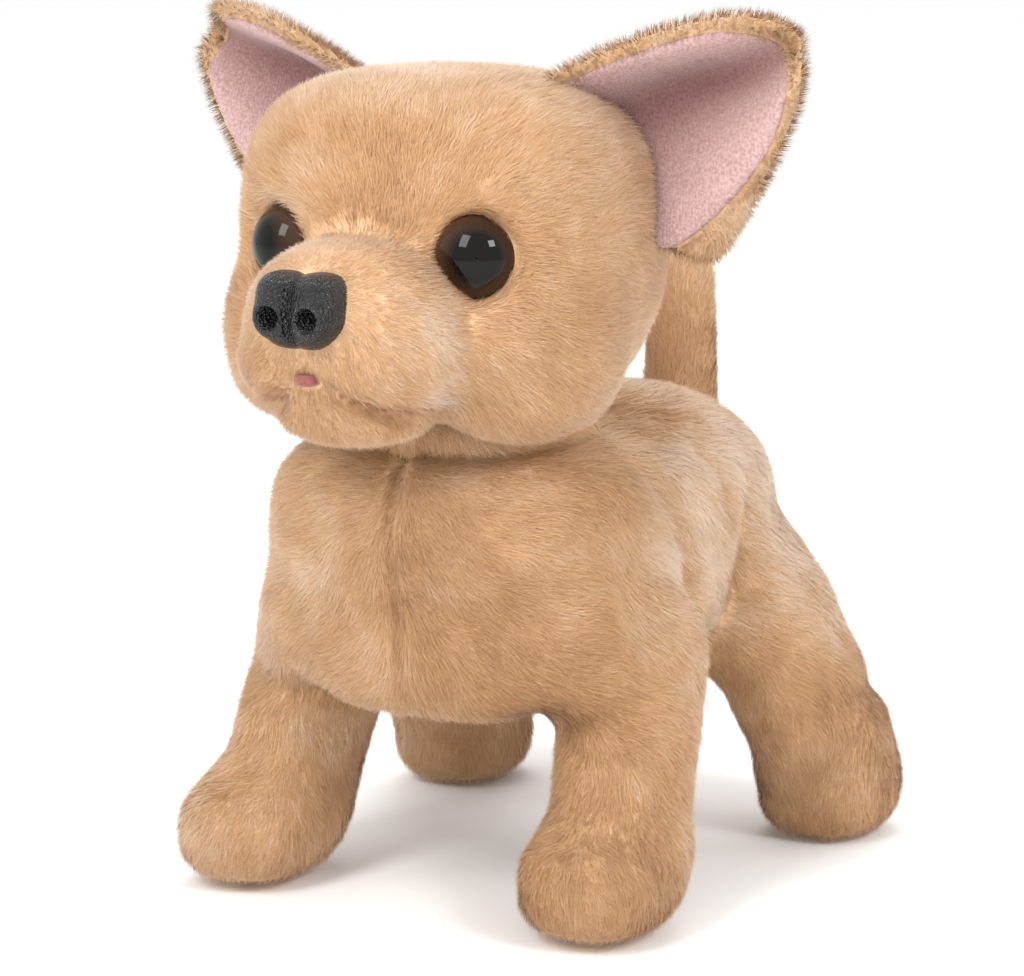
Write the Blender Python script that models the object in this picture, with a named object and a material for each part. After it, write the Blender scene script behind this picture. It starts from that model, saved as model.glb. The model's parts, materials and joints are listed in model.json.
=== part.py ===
"""Walking plush puppy: an electronic toy under a sewn plush skin.

The dog stands on four paws and looks towards -Y; its left side is +X and the
origin is on the ground, in the middle of the object's box.  The coordinates
below are millimetres from a point midway between the hips; BOX_MIDDLE_Y is
where the middle of the box lies from there, and every shape is moved back by it.

A motor turns a crank shaft across the body.  Each crank pin pushes a drive rod
to and fro, and the rod swings the front and the hind leg of its side.  The head
nods on a pin through the neck post, the tail wags on a lever that leaves the
rear of the casing, and the belly holds the power switch and the battery door.
"""

import math

import bmesh
import bpy
from mathutils import Matrix, Vector

MM = 0.001
BOX_MIDDLE_Y = -9.4
GAP = 0.3
SEGMENTS = 16

# Plush and casing
PLUSH = 5.0
CASING_INSET = 6.0
HEAD_CASING_INSET = 7.2
CASING_WALL = 2.0
TORSO_SIDES = 18
HEAD_SIDES = 18
CASING_SIDES = 12
LEG_SIDES = 14

# Torso stations along Y: (y, half width, lowest z, highest z)
TORSO_STATIONS = (
    (-66.5, 16.0, 60.0, 94.0),
    (-64.0, 27.0, 53.0, 97.5),
    (-58.0, 36.0, 46.0, 99.5),
    (-44.0, 41.0, 41.0, 100.0),
    (-20.0, 42.5, 39.0, 100.5),
    (0.0, 41.5, 39.0, 105.0),
    (22.0, 40.5, 39.0, 107.5),
    (42.0, 39.5, 41.0, 104.5),
    (56.0, 34.5, 46.0, 97.0),
    (63.5, 25.0, 54.0, 88.0),
    (66.5, 13.0, 61.0, 80.0),
)
# Head stations along Y: (y, half width, lowest z, highest z)
HEAD_STATIONS = (
    (-98.0, 9.0, 117.0, 136.0),
    (-95.0, 15.0, 111.5, 142.0),
    (-90.0, 19.5, 109.0, 146.0),
    (-83.0, 23.0, 107.0, 149.5),
    (-76.0, 25.5, 106.5, 152.0),
    (-72.0, 30.0, 106.0, 158.0),
    (-69.0, 35.5, 106.0, 168.0),
    (-64.0, 40.5, 106.0, 176.0),
    (-56.0, 43.5, 106.0, 182.0),
    (-44.0, 45.0, 106.0, 184.5),
    (-30.0, 45.5, 106.0, 185.0),
    (-14.0, 42.5, 108.0, 182.5),
    (-4.0, 34.0, 114.0, 175.0),
    (1.0, 22.0, 124.0, 163.0),
    (2.5, 10.0, 134.0, 151.0),
)
ROUNDNESS = 2.7
NOD_PIVOT = (0.0, -32.0, 121.5)
NECK_Y = NOD_PIVOT[1]
NECK_YOKE_HALF = (11.5, 6.0)
NECK_YOKE_Z = (118.2, 131.0)
CASING_NECK_RADIUS = 13.6

# Leg stations up Z: (z, x, y, half width, half length), for the left side
FRONT_LEG = (
    (0.0, 44.0, -50.0, 14.0, 16.5),
    (3.5, 44.0, -50.0, 18.0, 21.0),
    (13.0, 44.0, -49.0, 19.0, 22.0),
    (24.0, 43.5, -45.0, 16.5, 19.0),
    (34.0, 43.5, -40.0, 14.5, 17.0),
    (46.0, 43.5, -37.0, 12.0, 17.0),
    (58.0, 43.5, -36.0, 9.5, 16.5),
    (69.0, 42.5, -36.0, 7.0, 12.0),
    (75.0, 41.5, -36.0, 4.0, 6.0),
)
HIND_LEG = (
    (0.0, 50.5, 50.0, 11.0, 13.0),
    (3.5, 50.5, 50.0, 14.0, 16.5),
    (13.0, 50.5, 49.5, 15.5, 17.5),
    (24.0, 48.5, 46.0, 15.5, 18.0),
    (36.0, 46.0, 42.0, 15.0, 19.0),
    (47.0, 44.5, 39.0, 12.0, 19.0),
    (58.0, 43.5, 38.0, 9.5, 18.0),
    (69.0, 42.5, 38.0, 7.0, 13.0),
    (75.0, 41.5, 38.0, 4.0, 7.0),
)
HIP_Z = 58.0
FRONT_HIP_Y = -36.0
HIND_HIP_Y = 38.0
HIP_CLEAR_RADIUS = 21.0
LEG_INNER_X = 36.0
BELLY_CLEAR_Z = 38.0

# Leg drive
HUB_X = (35.4, 38.4)
HUB_RADIUS = 12.0
HIP_PIN_RADIUS = 2.0
DRIVE_ARM = 9.0
DRIVE_PIN_RADIUS = 1.5
ROD_X = (22.9, 24.6)
ROD_Z = HIP_Z + DRIVE_ARM
CRANK_Y = 0.0
CRANK_Z = 78.0
CRANK_THROW = 1.6

# Gears: module and tooth counts
MODULE = 0.6
CRANK_TEETH = 36
REDUCTION_TEETH = 30
REDUCTION_PINION_TEETH = 10
MOTOR_TEETH = 8
REDUCTION_Y = CRANK_Y - MODULE * (CRANK_TEETH + REDUCTION_PINION_TEETH) / 2
MOTOR_Y = REDUCTION_Y - MODULE * (REDUCTION_TEETH + MOTOR_TEETH) / 2

# Batteries (AA) and their tray
CELL_RADIUS = 7.2
CELL_LENGTH = 50.5
CELL_X = 7.6
CELL_Z = 54.2
TRAY_HALF_X = 19.4
TRAY_Y = (-30.0, 36.0)
TRAY_Z = (46.3, 63.0)
DOOR_Z = (44.0, 46.0)
DOOR_SCREW_Y = 32.5

SWITCH_Y = -37.0
BUTTON_Y = 18.0

# Face
EYE_AT = (25.3, -70.3, 146.5)
EYE_AXIS = (0.5, -0.862, 0.05)
EYE_RADIUS = 9.0
NOSE_AT = (0.0, -96.5, 137.0)
NOSE_HALF = (9.6, 6.8, 8.3)
TONGUE_AT = (0.0, -96.6, 122.5)
TONGUE_HALF = (4.2, 2.6, 1.6)

# Ear corners on the left side: inner base, tip, outer base
EAR_INNER = (20.0, -41.0, 180.0)
EAR_TIP = (84.5, -25.0, 201.0)
EAR_OUTER = (56.0, -25.0, 140.0)
EAR_CORNER_RADII = (4.0, 9.0, 7.0)
EAR_THICKNESS = 4.5
LINING_THICKNESS = 1.2
LINING_SHARE = 0.86

# Tail
TAIL_AXIS_Z = 76.0
TAIL_Y = 73.0
TAIL_TOP_Z = 136.0
TAIL_RADIUS = 9.0
TAIL_HEEL = 3.8
TAIL_CORE_Y = TAIL_Y + 1.5

# Casing screws: (y, z), driven along +X from the right side
CASING_SCREWS = ((-50.0, 60.0), (-46.5, 83.0), (51.0, 66.0))

COLOURS = {
    "plush": ((0.72, 0.47, 0.25, 1.0), 0.95, 0.0),
    "pink_knit": ((0.72, 0.40, 0.43, 1.0), 0.95, 0.0),
    "eye_black": ((0.01, 0.008, 0.007, 1.0), 0.05, 0.0),
    "nose_black": ((0.02, 0.02, 0.02, 1.0), 0.35, 0.0),
    "tongue_pink": ((0.75, 0.3, 0.3, 1.0), 0.7, 0.0),
    "casing_white": ((0.75, 0.75, 0.72, 1.0), 0.45, 0.0),
    "frame_grey": ((0.35, 0.36, 0.38, 1.0), 0.5, 0.0),
    "gear_white": ((0.82, 0.82, 0.78, 1.0), 0.4, 0.0),
    "steel": ((0.62, 0.62, 0.63, 1.0), 0.3, 1.0),
    "cell_green": ((0.06, 0.25, 0.1, 1.0), 0.35, 0.0),
    "board_green": ((0.02, 0.18, 0.07, 1.0), 0.4, 0.0),
    "black_plastic": ((0.03, 0.03, 0.03, 1.0), 0.5, 0.0),
}


# ---------------------------------------------------------------- helpers

def clear_scene():
    for obj in list(bpy.data.objects):
        bpy.data.objects.remove(obj, do_unlink=True)


def material(name):
    found = bpy.data.materials.get(name)
    if found:
        return found
    colour, roughness, metallic = COLOURS[name]
    made = bpy.data.materials.new(name)
    made.use_nodes = True
    shader = made.node_tree.nodes["Principled BSDF"]
    shader.inputs["Base Color"].default_value = colour
    shader.inputs["Roughness"].default_value = roughness
    shader.inputs["Metallic"].default_value = metallic
    made.diffuse_color = colour
    return made


def placed(point):
    """A point of this file's coordinates, in metres from the object's origin."""
    return Vector((point[0], point[1] - BOX_MIDDLE_Y, point[2])) * MM


def add_mesh(name, mesh_builder, finish=None, cutter=False):
    """Make one object from a bmesh whose coordinates are millimetres."""
    for vertex in mesh_builder.verts:
        vertex.co = placed(vertex.co)
    bmesh.ops.recalc_face_normals(mesh_builder, faces=mesh_builder.faces)
    mesh = bpy.data.meshes.new(name)
    mesh_builder.to_mesh(mesh)
    mesh_builder.free()
    mesh.shade_smooth()
    mesh.set_sharp_from_angle(angle=math.radians(35))
    obj = bpy.data.objects.new(name, mesh)
    bpy.context.scene.collection.objects.link(obj)
    if finish:
        mesh.materials.append(material(finish))
    if cutter:
        obj.hide_render = True
        obj.display_type = "WIRE"
    return obj


def cut_or_join(obj, other, operation, solver):
    modifier = obj.modifiers.new(operation.lower() + "_" + other.name, "BOOLEAN")
    modifier.operation = operation
    modifier.solver = solver
    modifier.object = other
    return obj


def cut(obj, *others, solver="EXACT"):
    for other in others:
        cut_or_join(obj, other, "DIFFERENCE", solver)
    return obj


def join(obj, *others, solver="EXACT"):
    for other in others:
        cut_or_join(obj, other, "UNION", solver)
    return obj


def keep_inside(obj, other):
    return cut_or_join(obj, other, "INTERSECT", "EXACT")


def box(name, low, high, finish=None, cutter=False):
    builder = bmesh.new()
    bmesh.ops.create_cube(builder, size=1.0)
    size = [b - a for a, b in zip(low, high)]
    middle = [(a + b) / 2 for a, b in zip(low, high)]
    bmesh.ops.scale(builder, vec=size, verts=builder.verts)
    bmesh.ops.translate(builder, vec=middle, verts=builder.verts)
    return add_mesh(name, builder, finish, cutter)


def rounded_box(name, low, high, radius, finish=None, cutter=False):
    builder = bmesh.new()
    bmesh.ops.create_cube(builder, size=1.0)
    size = [b - a for a, b in zip(low, high)]
    middle = [(a + b) / 2 for a, b in zip(low, high)]
    bmesh.ops.scale(builder, vec=size, verts=builder.verts)
    bmesh.ops.translate(builder, vec=middle, verts=builder.verts)
    bmesh.ops.bevel(builder, geom=builder.edges[:], offset=radius, segments=2,
                    profile=0.5, affect="EDGES")
    return add_mesh(name, builder, finish, cutter)


def turned(name, profile, at, axis, finish=None, cutter=False, segments=SEGMENTS):
    """Turn a profile of (radius, height) points about an axis through a point."""
    builder = bmesh.new()
    rings = []
    for radius, height in profile:
        if radius < 1e-6:
            rings.append([builder.verts.new((0.0, 0.0, height))])
            continue
        ring = []
        for index in range(segments):
            angle = 2 * math.pi * index / segments
            ring.append(builder.verts.new((radius * math.cos(angle), radius * math.sin(angle), height)))
        rings.append(ring)
    for lower, upper in zip(rings, rings[1:]):
        for index in range(segments):
            following = (index + 1) % segments
            if len(lower) == 1:
                builder.faces.new((lower[0], upper[index], upper[following]))
            elif len(upper) == 1:
                builder.faces.new((lower[index], lower[following], upper[0]))
            else:
                builder.faces.new((lower[index], lower[following], upper[following], upper[index]))
    for ring in (rings[0], rings[-1]):
        if len(ring) > 1:
            builder.faces.new(ring)
    turn = Vector(axis).to_track_quat("Z", "Y").to_matrix().to_4x4()
    bmesh.ops.transform(builder, matrix=Matrix.Translation(at) @ turn, verts=builder.verts)
    return add_mesh(name, builder, finish, cutter)


def rod_between(name, start, end, radius, finish=None, cutter=False, segments=SEGMENTS):
    span = Vector(end) - Vector(start)
    return turned(name, ((radius, 0.0), (radius, span.length)), start, span, finish, cutter, segments)


def loft(name, rings, finish=None, cutter=False):
    """Join rings of equal point counts into one closed skin."""
    builder = bmesh.new()
    loops = [[builder.verts.new(point) for point in ring] for ring in rings]
    count = len(loops[0])
    for lower, upper in zip(loops, loops[1:]):
        for index in range(count):
            following = (index + 1) % count
            builder.faces.new((lower[index], lower[following], upper[following], upper[index]))
    builder.faces.new(loops[0])
    builder.faces.new(loops[-1])
    return add_mesh(name, builder, finish, cutter)


def prism_x(name, outline, x_range, finish=None, cutter=False):
    """Extrude a (y, z) outline along X."""
    rings = [[(x, y, z) for y, z in outline] for x in x_range]
    return loft(name, rings, finish, cutter)


def superellipse(count, half_a, half_b, power):
    points = []
    for index in range(count):
        angle = 2 * math.pi * (index + 0.5) / count
        cosine, sine = math.cos(angle), math.sin(angle)
        a = half_a * math.copysign(abs(cosine) ** (2 / power), cosine)
        b = half_b * math.copysign(abs(sine) ** (2 / power), sine)
        points.append((a, b))
    return points


def body_rings(stations, inset, sides):
    """Rings of a body whose stations run along Y, pulled in by inset."""
    first, last = stations[0][0], stations[-1][0]
    middle, half = (first + last) / 2, (last - first) / 2
    rings = []
    for y, width, low, high in stations:
        pulled_y = middle + (y - middle) * (half - inset) / half
        half_width = max(width - inset, 2.0)
        half_height = max((high - low) / 2 - inset, 2.0)
        centre = (low + high) / 2
        ring = [(a, pulled_y, centre + b)
                for a, b in superellipse(sides, half_width, half_height, ROUNDNESS)]
        rings.append(ring)
    return rings


def leg_rings(stations, side, swell):
    rings = []
    for z, x, y, width, length in stations:
        ring = [(side * (x + a), y + b, z)
                for a, b in superellipse(LEG_SIDES, width + swell, length + swell, 2.3)]
        rings.append(ring)
    return rings


def other_side(name, side):
    """A big box over the other side of the middle plane and half a gap."""
    low_x, high_x = (-150.0, GAP / 2) if side > 0 else (-GAP / 2, 150.0)
    return box(name, (low_x, -150.0, -20.0), (high_x, 150.0, 250.0), cutter=True)


def joint_axis(name, at):
    empty = bpy.data.objects.new(name, None)
    empty.location = placed(at)
    empty.empty_display_size = 0.01
    bpy.context.scene.collection.objects.link(empty)
    return empty


def hang_on(axis_empty, *pieces):
    """Parent pieces to the empty on their joint's axis, without moving them."""
    for piece in pieces:
        piece.parent = axis_empty
        piece.matrix_parent_inverse = Matrix.Translation(-axis_empty.location)


def side_name(side):
    return "left" if side > 0 else "right"


def gear_outline(teeth, phase, centre_y, centre_z):
    """Trapezoid teeth with backlash, as (y, z) points; phase is in radians."""
    pitch_radius = MODULE * teeth / 2
    root = pitch_radius - 1.2 * MODULE
    tip = pitch_radius + 0.75 * MODULE
    step = 2 * math.pi / teeth
    points = []
    for tooth in range(teeth):
        middle = phase + tooth * step
        for radius, share in ((root, -0.27), (tip, -0.1), (tip, 0.1), (root, 0.27)):
            angle = middle + share * step
            points.append((centre_y + radius * math.cos(angle), centre_z + radius * math.sin(angle)))
    return points


# ------------------------------------------------------------- leg solids

def leg_core(prefix, side, hip_y, stations):
    """Plastic lever: hub disc on the hip pin, bar down to a foot block."""
    hub_low, hub_high = (side * x for x in HUB_X)
    core = turned(prefix + "_leg_core", ((HUB_RADIUS, 0.0), (HUB_RADIUS, abs(hub_high - hub_low))),
                  (hub_low, hip_y, HIP_Z), (side, 0, 0), "casing_white")
    foot_x, foot_y = stations[2][1], stations[2][2]
    bar = loft(prefix + "_bar_shape", (
        bar_ring(side * (HUB_X[1] - 1.5), hip_y, HIP_Z - 4.0, 1.45, 5.0),
        bar_ring(side * foot_x, foot_y + 2.0, 9.0, 2.2, 6.0)), cutter=True)
    foot = rounded_box(prefix + "_foot_shape",
                       (side * foot_x - 8.5, foot_y - 11.0, 4.0),
                       (side * foot_x + 8.5, foot_y + 11.0, 10.5), 1.5, cutter=True)
    drive_pin = rod_between(prefix + "_drive_pin_shape", (side * (HUB_X[0] + 1.0), hip_y, ROD_Z),
                            (side * (ROD_X[0] - 0.4), hip_y, ROD_Z), DRIVE_PIN_RADIUS, cutter=True,
                            segments=10)
    bore = rod_between(prefix + "_hub_bore", (side * 30.0, hip_y, HIP_Z), (side * 45.0, hip_y, HIP_Z),
                       HIP_PIN_RADIUS + GAP, cutter=True)
    return cut(join(core, bar, foot, drive_pin), bore)


def bar_ring(x, y, z, half_x, half_y):
    return [(x + a * half_x, y + b * half_y, z) for a, b in ((-1, -1), (1, -1), (1, 1), (-1, 1))]


def leg_plush(prefix, side, hip_y, stations):
    """Stuffed sleeve around the core; its inner side clears the casing."""
    sleeve = loft(prefix + "_leg_plush", leg_rings(stations, side, 0.0), "plush")
    inner_x = sorted((-side * 5.0, side * LEG_INNER_X))
    clearance = box(prefix + "_body_clearance", (inner_x[0], -90.0, BELLY_CLEAR_Z),
                    (inner_x[1], 90.0, 100.0), cutter=True)
    hub_pocket = rod_between(prefix + "_hub_pocket", (side * 30.0, hip_y, HIP_Z),
                             (side * 42.6, hip_y, HIP_Z), HUB_RADIUS + 0.6, cutter=True)
    foot_x, foot_y = stations[2][1], stations[2][2]
    bar_pocket = loft(prefix + "_bar_pocket", (
        bar_ring(side * (HUB_X[1] - 1.5), hip_y, HIP_Z - 3.0, 2.2, 5.6),
        bar_ring(side * foot_x, foot_y + 2.0, 8.0, 2.9, 6.6)), cutter=True)
    foot_pocket = box(prefix + "_foot_pocket",
                      (side * foot_x - 9.0, foot_y - 11.5, 3.4),
                      (side * foot_x + 9.0, foot_y + 11.5, 11.1), cutter=True)
    return cut(sleeve, clearance, hub_pocket, bar_pocket, foot_pocket)


def hip_pin(prefix, side, hip_y):
    """Shoulder screw from the casing boss through the hub, head outside it."""
    return turned(prefix + "_hip_pin",
                  ((HIP_PIN_RADIUS, 0.0), (HIP_PIN_RADIUS, 8.6), (4.0, 8.6), (4.0, 10.6)),
                  (side * 30.2, hip_y, HIP_Z), (side, 0, 0), "steel")


def hip_clearance(prefix, side, hip_y):
    """Room for the leg's top and shoulder to swing in, cut from the body skin."""
    round_x = sorted((side * 29.0, side * 70.0))
    low_x = sorted((side * 28.0, side * 70.0))
    return [
        rod_between(prefix + "_hip_clearance", (round_x[0], hip_y, HIP_Z), (round_x[1], hip_y, HIP_Z),
                    HIP_CLEAR_RADIUS, cutter=True, segments=24),
        box(prefix + "_shoulder_clearance", (low_x[0], hip_y - 25.0, 30.0), (low_x[1], hip_y + 20.0, 46.0),
            cutter=True),
    ]


def make_legs():
    """All four legs; returns the shapes that the body skin is cut back by."""
    clearances = {1: [], -1: []}
    for side in (1, -1):
        for end, hip_y, stations in (("front", FRONT_HIP_Y, FRONT_LEG), ("hind", HIND_HIP_Y, HIND_LEG)):
            prefix = end + "_" + side_name(side)
            core = leg_core(prefix, side, hip_y, stations)
            sleeve = leg_plush(prefix, side, hip_y, stations)
            hip_pin(prefix, side, hip_y)
            hang_on(joint_axis(prefix + "_hip_axis", (side * HUB_X[0], hip_y, HIP_Z)), core, sleeve)
            clearances[side] += hip_clearance(prefix, side, hip_y)
    return clearances


# ------------------------------------------------------------ torso solids

def make_body_plush(clearances):
    inner = loft("body_plush_inner", body_rings(TORSO_STATIONS, PLUSH, TORSO_SIDES), cutter=True)
    belly = box("belly_opening", (-22.5, -43.0, 20.0), (22.5, 39.5, 55.0), cutter=True)
    neck = rod_between("neck_opening", (0, NECK_Y, 80.0), (0, NECK_Y, 110.0), 20.5, cutter=True)
    tail = rod_between("tail_opening", (0, 50.0, TAIL_AXIS_Z), (0, 80.0, TAIL_AXIS_Z), 6.2, cutter=True,
                       segments=14)
    for side in (1, -1):
        half = loft("body_plush_" + side_name(side), body_rings(TORSO_STATIONS, 0.0, TORSO_SIDES), "plush")
        cut(half, other_side("body_plush_half_" + side_name(side), side), inner, belly, neck, tail,
            *clearances[side], solver="MANIFOLD")


def casing_cutters():
    """Openings that both halves of the torso casing share."""
    cutters = [
        loft("casing_inner", body_rings(TORSO_STATIONS[::2], CASING_INSET + CASING_WALL, CASING_SIDES),
             cutter=True),
        box("tray_opening", (-TRAY_HALF_X - GAP, TRAY_Y[0] - GAP, 30.0),
            (TRAY_HALF_X + GAP, TRAY_Y[1] + GAP, 60.0), cutter=True),
        box("switch_slot", (-6.0, SWITCH_Y - 2.9, 30.0), (11.0, SWITCH_Y + 2.9, 60.0), cutter=True),
        rod_between("button_hole", (0, BUTTON_Y, 90.0), (0, BUTTON_Y, 110.0), 8.6, cutter=True),
        rod_between("neck_post_hole", (0, NECK_Y, 80.0), (0, NECK_Y, 100.0), 7.9, cutter=True),
        rod_between("tail_rod_hole", (0, 45.0, TAIL_AXIS_Z), (0, 80.0, TAIL_AXIS_Z), 2.9, cutter=True),
    ]
    return cutters


def make_casing():
    shared = casing_cutters()
    for side in (1, -1):
        word = side_name(side)
        rings = body_rings(TORSO_STATIONS[::2], CASING_INSET, CASING_SIDES)
        shell = loft("torso_casing_" + word, rings, "casing_white")
        cut(shell, other_side("casing_half_" + word, side), *shared, solver="MANIFOLD")
        for index, (y, z) in enumerate(CASING_SCREWS):
            tag = "%s_%d" % (word, index + 1)
            boss = rod_between("boss_" + tag, (side * GAP / 2, y, z), (side * 60.0, y, z), 4.4, cutter=True,
                               segments=10)
            join(shell, keep_inside(boss, body_limit()), solver="MANIFOLD")
            bore_end = 14.0 if side > 0 else 60.0
            cut(shell, rod_between("boss_bore_" + tag, (-side, y, z), (side * bore_end, y, z), 1.6,
                                   cutter=True, segments=12), solver="MANIFOLD")
            if side < 0:
                cut(shell, rod_between("head_recess_" + tag, (-22.0, y, z), (-60.0, y, z), 3.0,
                                       cutter=True, segments=12), solver="MANIFOLD")
        for hip_y in (FRONT_HIP_Y, HIND_HIP_Y):
            tag = word + ("_front" if hip_y < 0 else "_hind")
            cut(shell, rod_between("hip_hole_" + tag, (side * 20.0, hip_y, HIP_Z), (side * 45.0, hip_y,
                                                                                    HIP_Z),
                                   HIP_PIN_RADIUS + GAP, cutter=True), solver="MANIFOLD")
            cut(shell, slot_box("drive_window_" + tag, side, hip_y), solver="MANIFOLD")


def body_limit():
    """A form inside the casing's wall, where the screw bosses end."""
    found = bpy.data.objects.get("boss_limit")
    if found:
        return found
    inset = CASING_INSET + CASING_WALL / 2
    return loft("boss_limit", body_rings(TORSO_STATIONS[::2], inset, CASING_SIDES), cutter=True)


def slot_box(name, side, hip_y):
    """Window in the casing wall that the leg's drive pin swings in."""
    low_x, high_x = sorted((side * 24.0, side * 45.0))
    return box(name, (low_x, hip_y - 3.7, ROD_Z - 2.45), (high_x, hip_y + 3.75, ROD_Z + 2.4), cutter=True)


def make_casing_screws():
    for index, (y, z) in enumerate(CASING_SCREWS):
        turned("casing_screw_%d" % (index + 1), ((2.6, 0.0), (2.6, 1.8), (1.25, 1.8), (1.25, 34.0)),
               (-24.1, y, z), (1, 0, 0), "steel", segments=12)


def make_neck_post():
    post = turned("neck_post", ((7.5, 0.0), (7.5, 7.1), (13.0, 7.1), (13.0, 8.5), (7.5, 8.5), (7.5, 37.5)),
                  (0, NECK_Y, 88.5), (0, 0, 1), "casing_white")
    bore = rod_between("neck_pin_bore", (-20, NECK_Y, NOD_PIVOT[2]), (20, NECK_Y, NOD_PIVOT[2]), 2.3,
                       cutter=True)
    cable_way = rod_between("neck_cable_way", (0, NECK_Y, 80.0), (0, NECK_Y, 112.0), 4.5, cutter=True)
    cut(post, bore, cable_way)
    collar = turned("neck_plush", ((20.0, 0.0), (20.0, 4.6), (18.5, 6.0)), (0, NECK_Y, 97.5), (0, 0, 1),
                    "plush")
    cut(collar, rod_between("collar_bore", (0, NECK_Y, 90.0), (0, NECK_Y, 110.0), 14.2, cutter=True))


def make_battery_bay():
    tray = box("battery_tray", (-TRAY_HALF_X, TRAY_Y[0], TRAY_Z[0]), (TRAY_HALF_X, TRAY_Y[1], TRAY_Z[1]),
               "black_plastic")
    hollow = box("tray_hollow", (-17.6, -28.5, 30.0), (17.6, 28.5, 61.6), cutter=True)
    thread = rod_between("tray_thread", (0, DOOR_SCREW_Y, 30.0), (0, DOOR_SCREW_Y, 56.0), 2.3, cutter=True)
    cut(tray, hollow, thread)
    for side in (1, -1):
        word = side_name(side)
        pole = side * CELL_LENGTH / 2
        shoulder = CELL_LENGTH - 1.2
        profile = ((CELL_RADIUS, 0.0), (CELL_RADIUS, shoulder), (2.6, shoulder), (2.6, CELL_LENGTH))
        turned("battery_cell_" + word, profile, (side * CELL_X, -pole, CELL_Z), (0, side, 0), "cell_green",
               segments=20)
        contact_spring("battery_spring_" + word, side * CELL_X)
    box("battery_contact", (-13.5, -28.1, CELL_Z - 5.0), (13.5, -27.6, CELL_Z + 5.0), "steel")
    make_battery_door()


def contact_spring(name, x):
    """Tapered coil that presses the cell's end, axis along Y."""
    turns, per_turn = 2.5, 8
    curve = bpy.data.curves.new(name, "CURVE")
    curve.dimensions = "3D"
    curve.bevel_depth = 0.3 * MM
    curve.bevel_resolution = 1
    curve.render_resolution_u = 0
    curve.use_fill_caps = True
    spline = curve.splines.new("POLY")
    count = int(turns * per_turn) + 1
    spline.points.add(count - 1)
    for index in range(count):
        share = index / (count - 1)
        angle = 2 * math.pi * turns * share
        radius = 4.5 - 2.0 * share
        spot = (x + radius * math.cos(angle), 28.1 - 2.1 * share, CELL_Z + radius * math.sin(angle))
        spline.points[index].co = (*placed(spot), 1.0)
    curve.materials.append(material("steel"))
    obj = bpy.data.objects.new(name, curve)
    bpy.context.scene.collection.objects.link(obj)
    return obj


def make_battery_door():
    door = rounded_box("battery_door", (-TRAY_HALF_X + 0.5, TRAY_Y[0] + 0.3, DOOR_Z[0]),
                       (TRAY_HALF_X - 0.5, TRAY_Y[1] - 0.3, DOOR_Z[1]), 0.6, "black_plastic")
    hole = turned("door_screw_hole", ((3.3, -2.0), (3.3, 1.1), (1.6, 1.1), (1.6, 5.0)),
                  (0, DOOR_SCREW_Y, DOOR_Z[0]), (0, 0, 1), cutter=True)
    cut(door, hole)
    screw = turned("battery_door_screw", ((2.9, 0.0), (2.9, 0.8), (1.25, 0.8), (1.25, 5.8)),
                   (0, DOOR_SCREW_Y, DOOR_Z[0]), (0, 0, 1), "steel", segments=12)
    hang_on(joint_axis("door_hinge_axis", (-TRAY_HALF_X, 0, (DOOR_Z[0] + DOOR_Z[1]) / 2)), door, screw)


def make_power_switch():
    knob = rounded_box("power_switch", (-4.0, SWITCH_Y - 2.4, 43.2), (4.0, SWITCH_Y + 2.4, 54.8), 0.6,
                       "black_plastic")
    plate = box("switch_plate", (-6.0, SWITCH_Y - 3.6, 53.0), (6.0, SWITCH_Y + 3.6, 54.2), cutter=True)
    join(knob, plate)
    hang_on(joint_axis("switch_axis", (0, SWITCH_Y, 50.0)), knob)


def make_back_button():
    button = turned("back_button",
                    ((3.0, 0.0), (3.0, 4.3), (9.6, 4.3), (9.6, 5.5), (8.0, 5.5), (8.0, 10.2)),
                    (0, BUTTON_Y, 89.2), (0, 0, 1), "casing_white")
    hang_on(joint_axis("button_axis", (0, BUTTON_Y, 98.0)), button)


def make_electronics():
    board = box("circuit_board", (-17.0, 14.2, 84.4), (17.0, 42.0, 86.0), "board_green")
    chip = box("chip_shape", (-14.0, 24.0, 85.5), (-6.0, 32.0, 87.4), cutter=True)
    tact = box("tact_switch_shape", (-3.0, BUTTON_Y - 3.0, 85.5), (3.0, BUTTON_Y + 3.0, 88.2), cutter=True)
    cap = rod_between("capacitor_shape", (9.0, 33.0, 85.5), (9.0, 33.0, 89.6), 3.0, cutter=True, segments=12)
    join(board, chip, tact, cap)
    turned("speaker", ((13.0, 0.0), (13.0, 2.0), (9.0, 4.0), (9.0, 7.0)), (0, 31.0, 65.0), (0, 0, 1),
           "black_plastic", segments=20)


# --------------------------------------------------------------- mechanism

def make_motor():
    turned("motor", ((7.5, 0.0), (8.5, 1.0), (8.5, 21.0), (3.0, 21.0), (3.0, 22.0)),
           (-21.0, MOTOR_Y, CRANK_Z), (1, 0, 0), "steel", segments=20)
    pinion = prism_x("motor_pinion", gear_outline(MOTOR_TEETH, motor_phase(), MOTOR_Y, CRANK_Z), (6.0, 10.5),
                     "gear_white")
    shaft = rod_between("motor_shaft_shape", (1.4, MOTOR_Y, CRANK_Z), (11.5, MOTOR_Y, CRANK_Z), 1.0,
                        cutter=True,
                        segments=12)
    join(pinion, shaft)
    hang_on(joint_axis("motor_axis", (6.0, MOTOR_Y, CRANK_Z)), pinion)


def motor_phase():
    """A gap of the motor pinion faces the reduction wheel's tooth on +Y."""
    return math.pi / MOTOR_TEETH


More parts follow.
